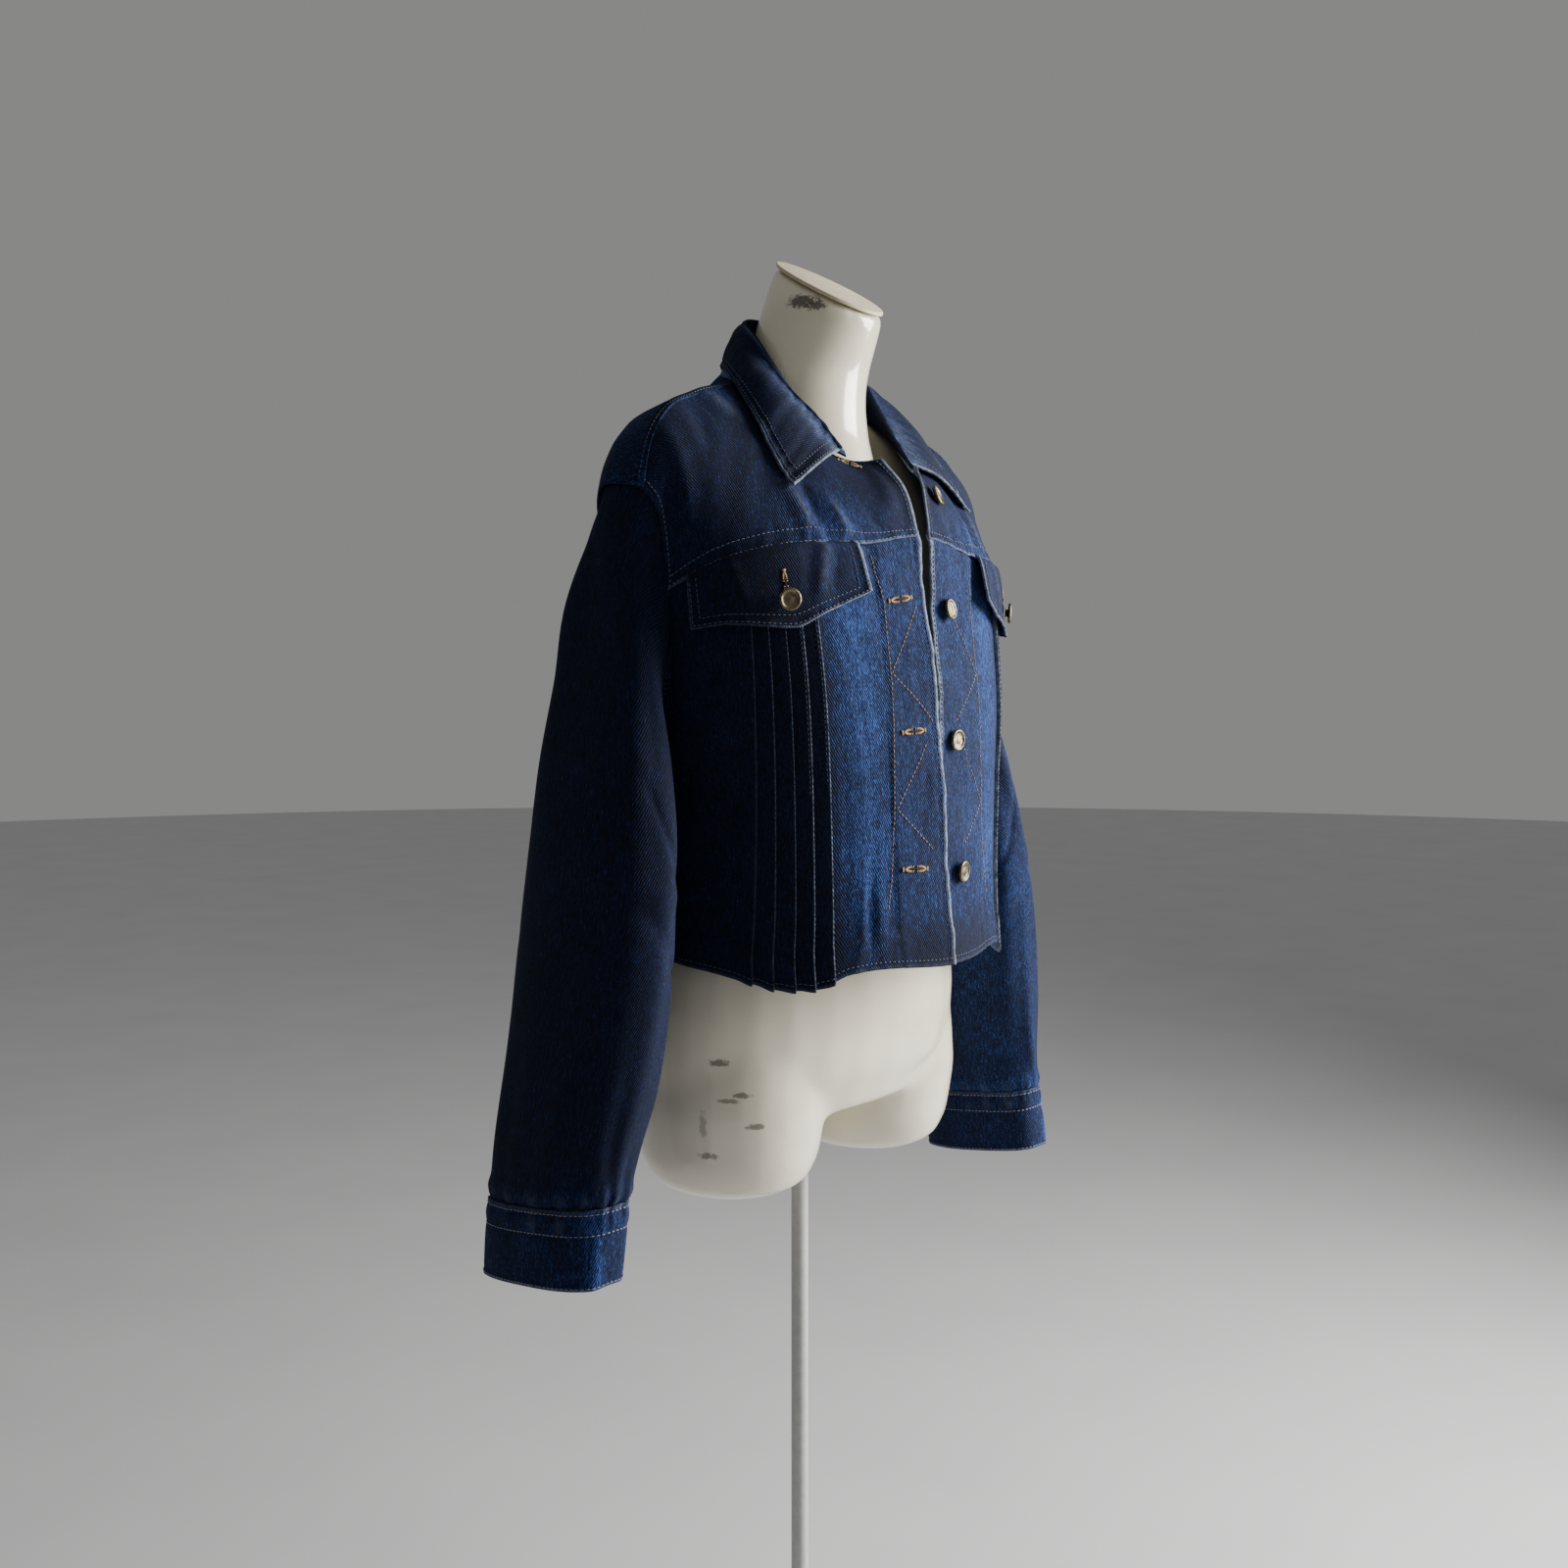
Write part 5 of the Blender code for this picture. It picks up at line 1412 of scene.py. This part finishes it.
def formPiece():
    # the CAD form's own shape, remeshed fine and smoothed so that its joints run together
    bm = bmesh.new()
    bm.from_mesh(bpy.data.objects["torso_form"].data)
    bmesh.ops.remove_doubles(bm, verts=bm.verts, dist=0.00002)
    piece = finishPiece(bm, "torsoFormShell", "ivory", "torso_form")
    remesh = piece.modifiers.new("evenMesh", "REMESH")
    remesh.mode = "VOXEL"
    remesh.voxel_size = form["voxel"]
    remesh.use_smooth_shade = True
    smooth = piece.modifiers.new("runTogether", "SMOOTH")
    smooth.factor = 0.6
    smooth.iterations = form["rounds"]
    ready = piece.evaluated_get(bpy.context.evaluated_depsgraph_get())
    finished = bpy.data.meshes.new_from_object(ready)
    piece.modifiers.clear()
    piece.data = finished
    finished.materials.clear()
    finished.materials.append(materials["ivory"])
    finished.shade_smooth()


formPiece()


def plainMaterial(name, low, high, scale, roughness, relief):
    # one even colour with a fine grain
    material, shader = newMaterial(name)
    colour, spots, _ = speckled(material, scale, 5.0, 0.65, (0.3, linear(low)), (0.7, linear(high)))
    join(material, colour, shader, "Base Color")
    height = addNode(material, "ShaderNodeBump", {}, {"Height": spots, "Strength": relief, "Distance": 0.0005})
    join(material, height.outputs["Normal"], shader, "Normal")
    setShader(shader, {"Roughness": roughness})
    return material


# neck cap: thick card covered in matt beige cloth; pole and plate: powder-coated steel tube and sheet
materials["cap"] = plainMaterial("mattBeigeCap", "#b9ad93", "#cdc3ab", 55.0, 0.7, 0.2)
materials["steel"] = plainMaterial("powderCoatedSteel", "#a9aaa9", "#b9bab9", 160.0, 0.42, 0.12)
for node, slotName in (("neck_cap", "cap"), ("pole", "steel"), ("foot_collar", "steel"), ("base_plate", "steel")):
    bm = bmesh.new()
    bm.from_mesh(bpy.data.objects[node].data)
    bmesh.ops.remove_doubles(bm, verts=bm.verts, dist=0.00001)
    sharp = [edge for edge in bm.edges if len(edge.link_faces) == 2 and edge.calc_face_angle() > math.radians(50)]
    bmesh.ops.bevel(bm, geom=sharp, offset=0.0008, affect="EDGES", segments=3, profile=0.5, material=-1)
    finishPiece(bm, f"{node}Finished", slotName, node)
print("form and stand made")


# floor, lights and camera

studio = {"world": "#cbcbca", "worldStrength": 0.42, "keyPower": 185.0, "keySize": 1.1,
          "keyDistance": 2.2, "keyHeight": 1.65, "yaw": 49.3, "distance": 1.31, "aside": 0.0131,
          "height": 1.17, "lens": 36.0 * 1603 / 1600, "shiftY": -0.0625}

floorMaterial, floorShader = newMaterial("paleFloor")
floorColour, _, _ = speckled(floorMaterial, 3.0, 4.0, 0.5, (0.0, linear("#c6c6c8")), (1.0, linear("#d3d3d4")))
join(floorMaterial, floorColour, floorShader, "Base Color")
setShader(floorShader, {"Roughness": 0.8})
bm = bmesh.new()
bmesh.ops.create_circle(bm, cap_ends=True, segments=96, radius=14.0)
floorMesh = bpy.data.meshes.new("studioFloor")
bm.to_mesh(floorMesh)
bm.free()
floorMesh.materials.append(floorMaterial)
floor = newObject("studioFloor", floorMesh)

world = bpy.data.worlds.new("studioWorld")
world.use_nodes = True
world.node_tree.nodes["Background"].inputs["Color"].default_value = linear(studio["world"])
world.node_tree.nodes["Background"].inputs["Strength"].default_value = studio["worldStrength"]
bpy.context.scene.world = world

yaw = math.radians(studio["yaw"])
ahead = Vector((math.sin(yaw), math.cos(yaw), 0.0))
toRight = Vector((math.cos(yaw), -math.sin(yaw), 0.0))


def softLight(name, place, target, power, size, colour):
    data = bpy.data.lights.new(name, "AREA")
    data.shape = "RECTANGLE"
    data.size, data.size_y = size
    data.energy = power
    data.color = colour
    light = newObject(name, data)
    light.location = place
    light.rotation_mode = "QUATERNION"
    light.rotation_quaternion = (Vector(target) - Vector(place)).to_track_quat("-Z", "Y")


chest = Vector((0.0, 0.0, 1.15))
softLight("windowLight", toRight * studio["keyDistance"] + ahead * 0.30 + Vector((0, 0, studio["keyHeight"])),
          chest, studio["keyPower"], (studio["keySize"], 1.5), (1.0, 0.985, 0.96))

cameraData = bpy.data.cameras.new("frontRightCamera")
cameraData.lens = studio["lens"]
cameraData.sensor_width = 36.0
cameraData.shift_y = studio["shiftY"]
camera = newObject("frontRightCamera", cameraData)
camera.location = -ahead * studio["distance"] - toRight * studio["aside"] + Vector((0, 0, studio["height"]))
camera.rotation_euler = (math.radians(90), 0.0, -yaw)
bpy.context.scene.camera = camera
print("floor, lights and camera set")


# the cloth as it was cut: width and length of each piece's flat shape, and how much of that rectangle it fills

cuts = {
    "frontPanel_right": (0.29, 0.335, 0.86), "frontPanel_left": (0.29, 0.335, 0.88),
    "backPanel": (0.43, 0.33, 0.92),
    "frontYoke_right": (0.20, 0.19, 0.75), "frontYoke_left": (0.20, 0.19, 0.75),
    "backYoke": (0.47, 0.18, 0.88),
    "sleeve_right_shell": (0.37, 0.53, 0.74), "sleeve_left_shell": (0.37, 0.53, 0.76),
    "cuff_right_band": (0.305, 0.058, 1.0), "cuff_left_band": (0.305, 0.058, 1.0),
    "pocketFlap_right": (0.13, 0.065, 0.90), "pocketFlap_left": (0.13, 0.065, 0.90),
    "collarPiece": (0.46, 0.10, 0.90),
}


def clothArea(name):
    points = pieces[name]["points"]
    across, up = points[:-1, 1:] - points[:-1, :-1], points[1:, :-1] - points[:-1, :-1]
    return float(np.linalg.norm(np.cross(across, up), axis=-1).sum())


for name, (width, length, share) in cuts.items():
    area = clothArea(name)
    print(name, "cut", width, length, "area", round(area, 4), "share", round(area / (width * length), 2))
    base, _, label = name.partition("_")
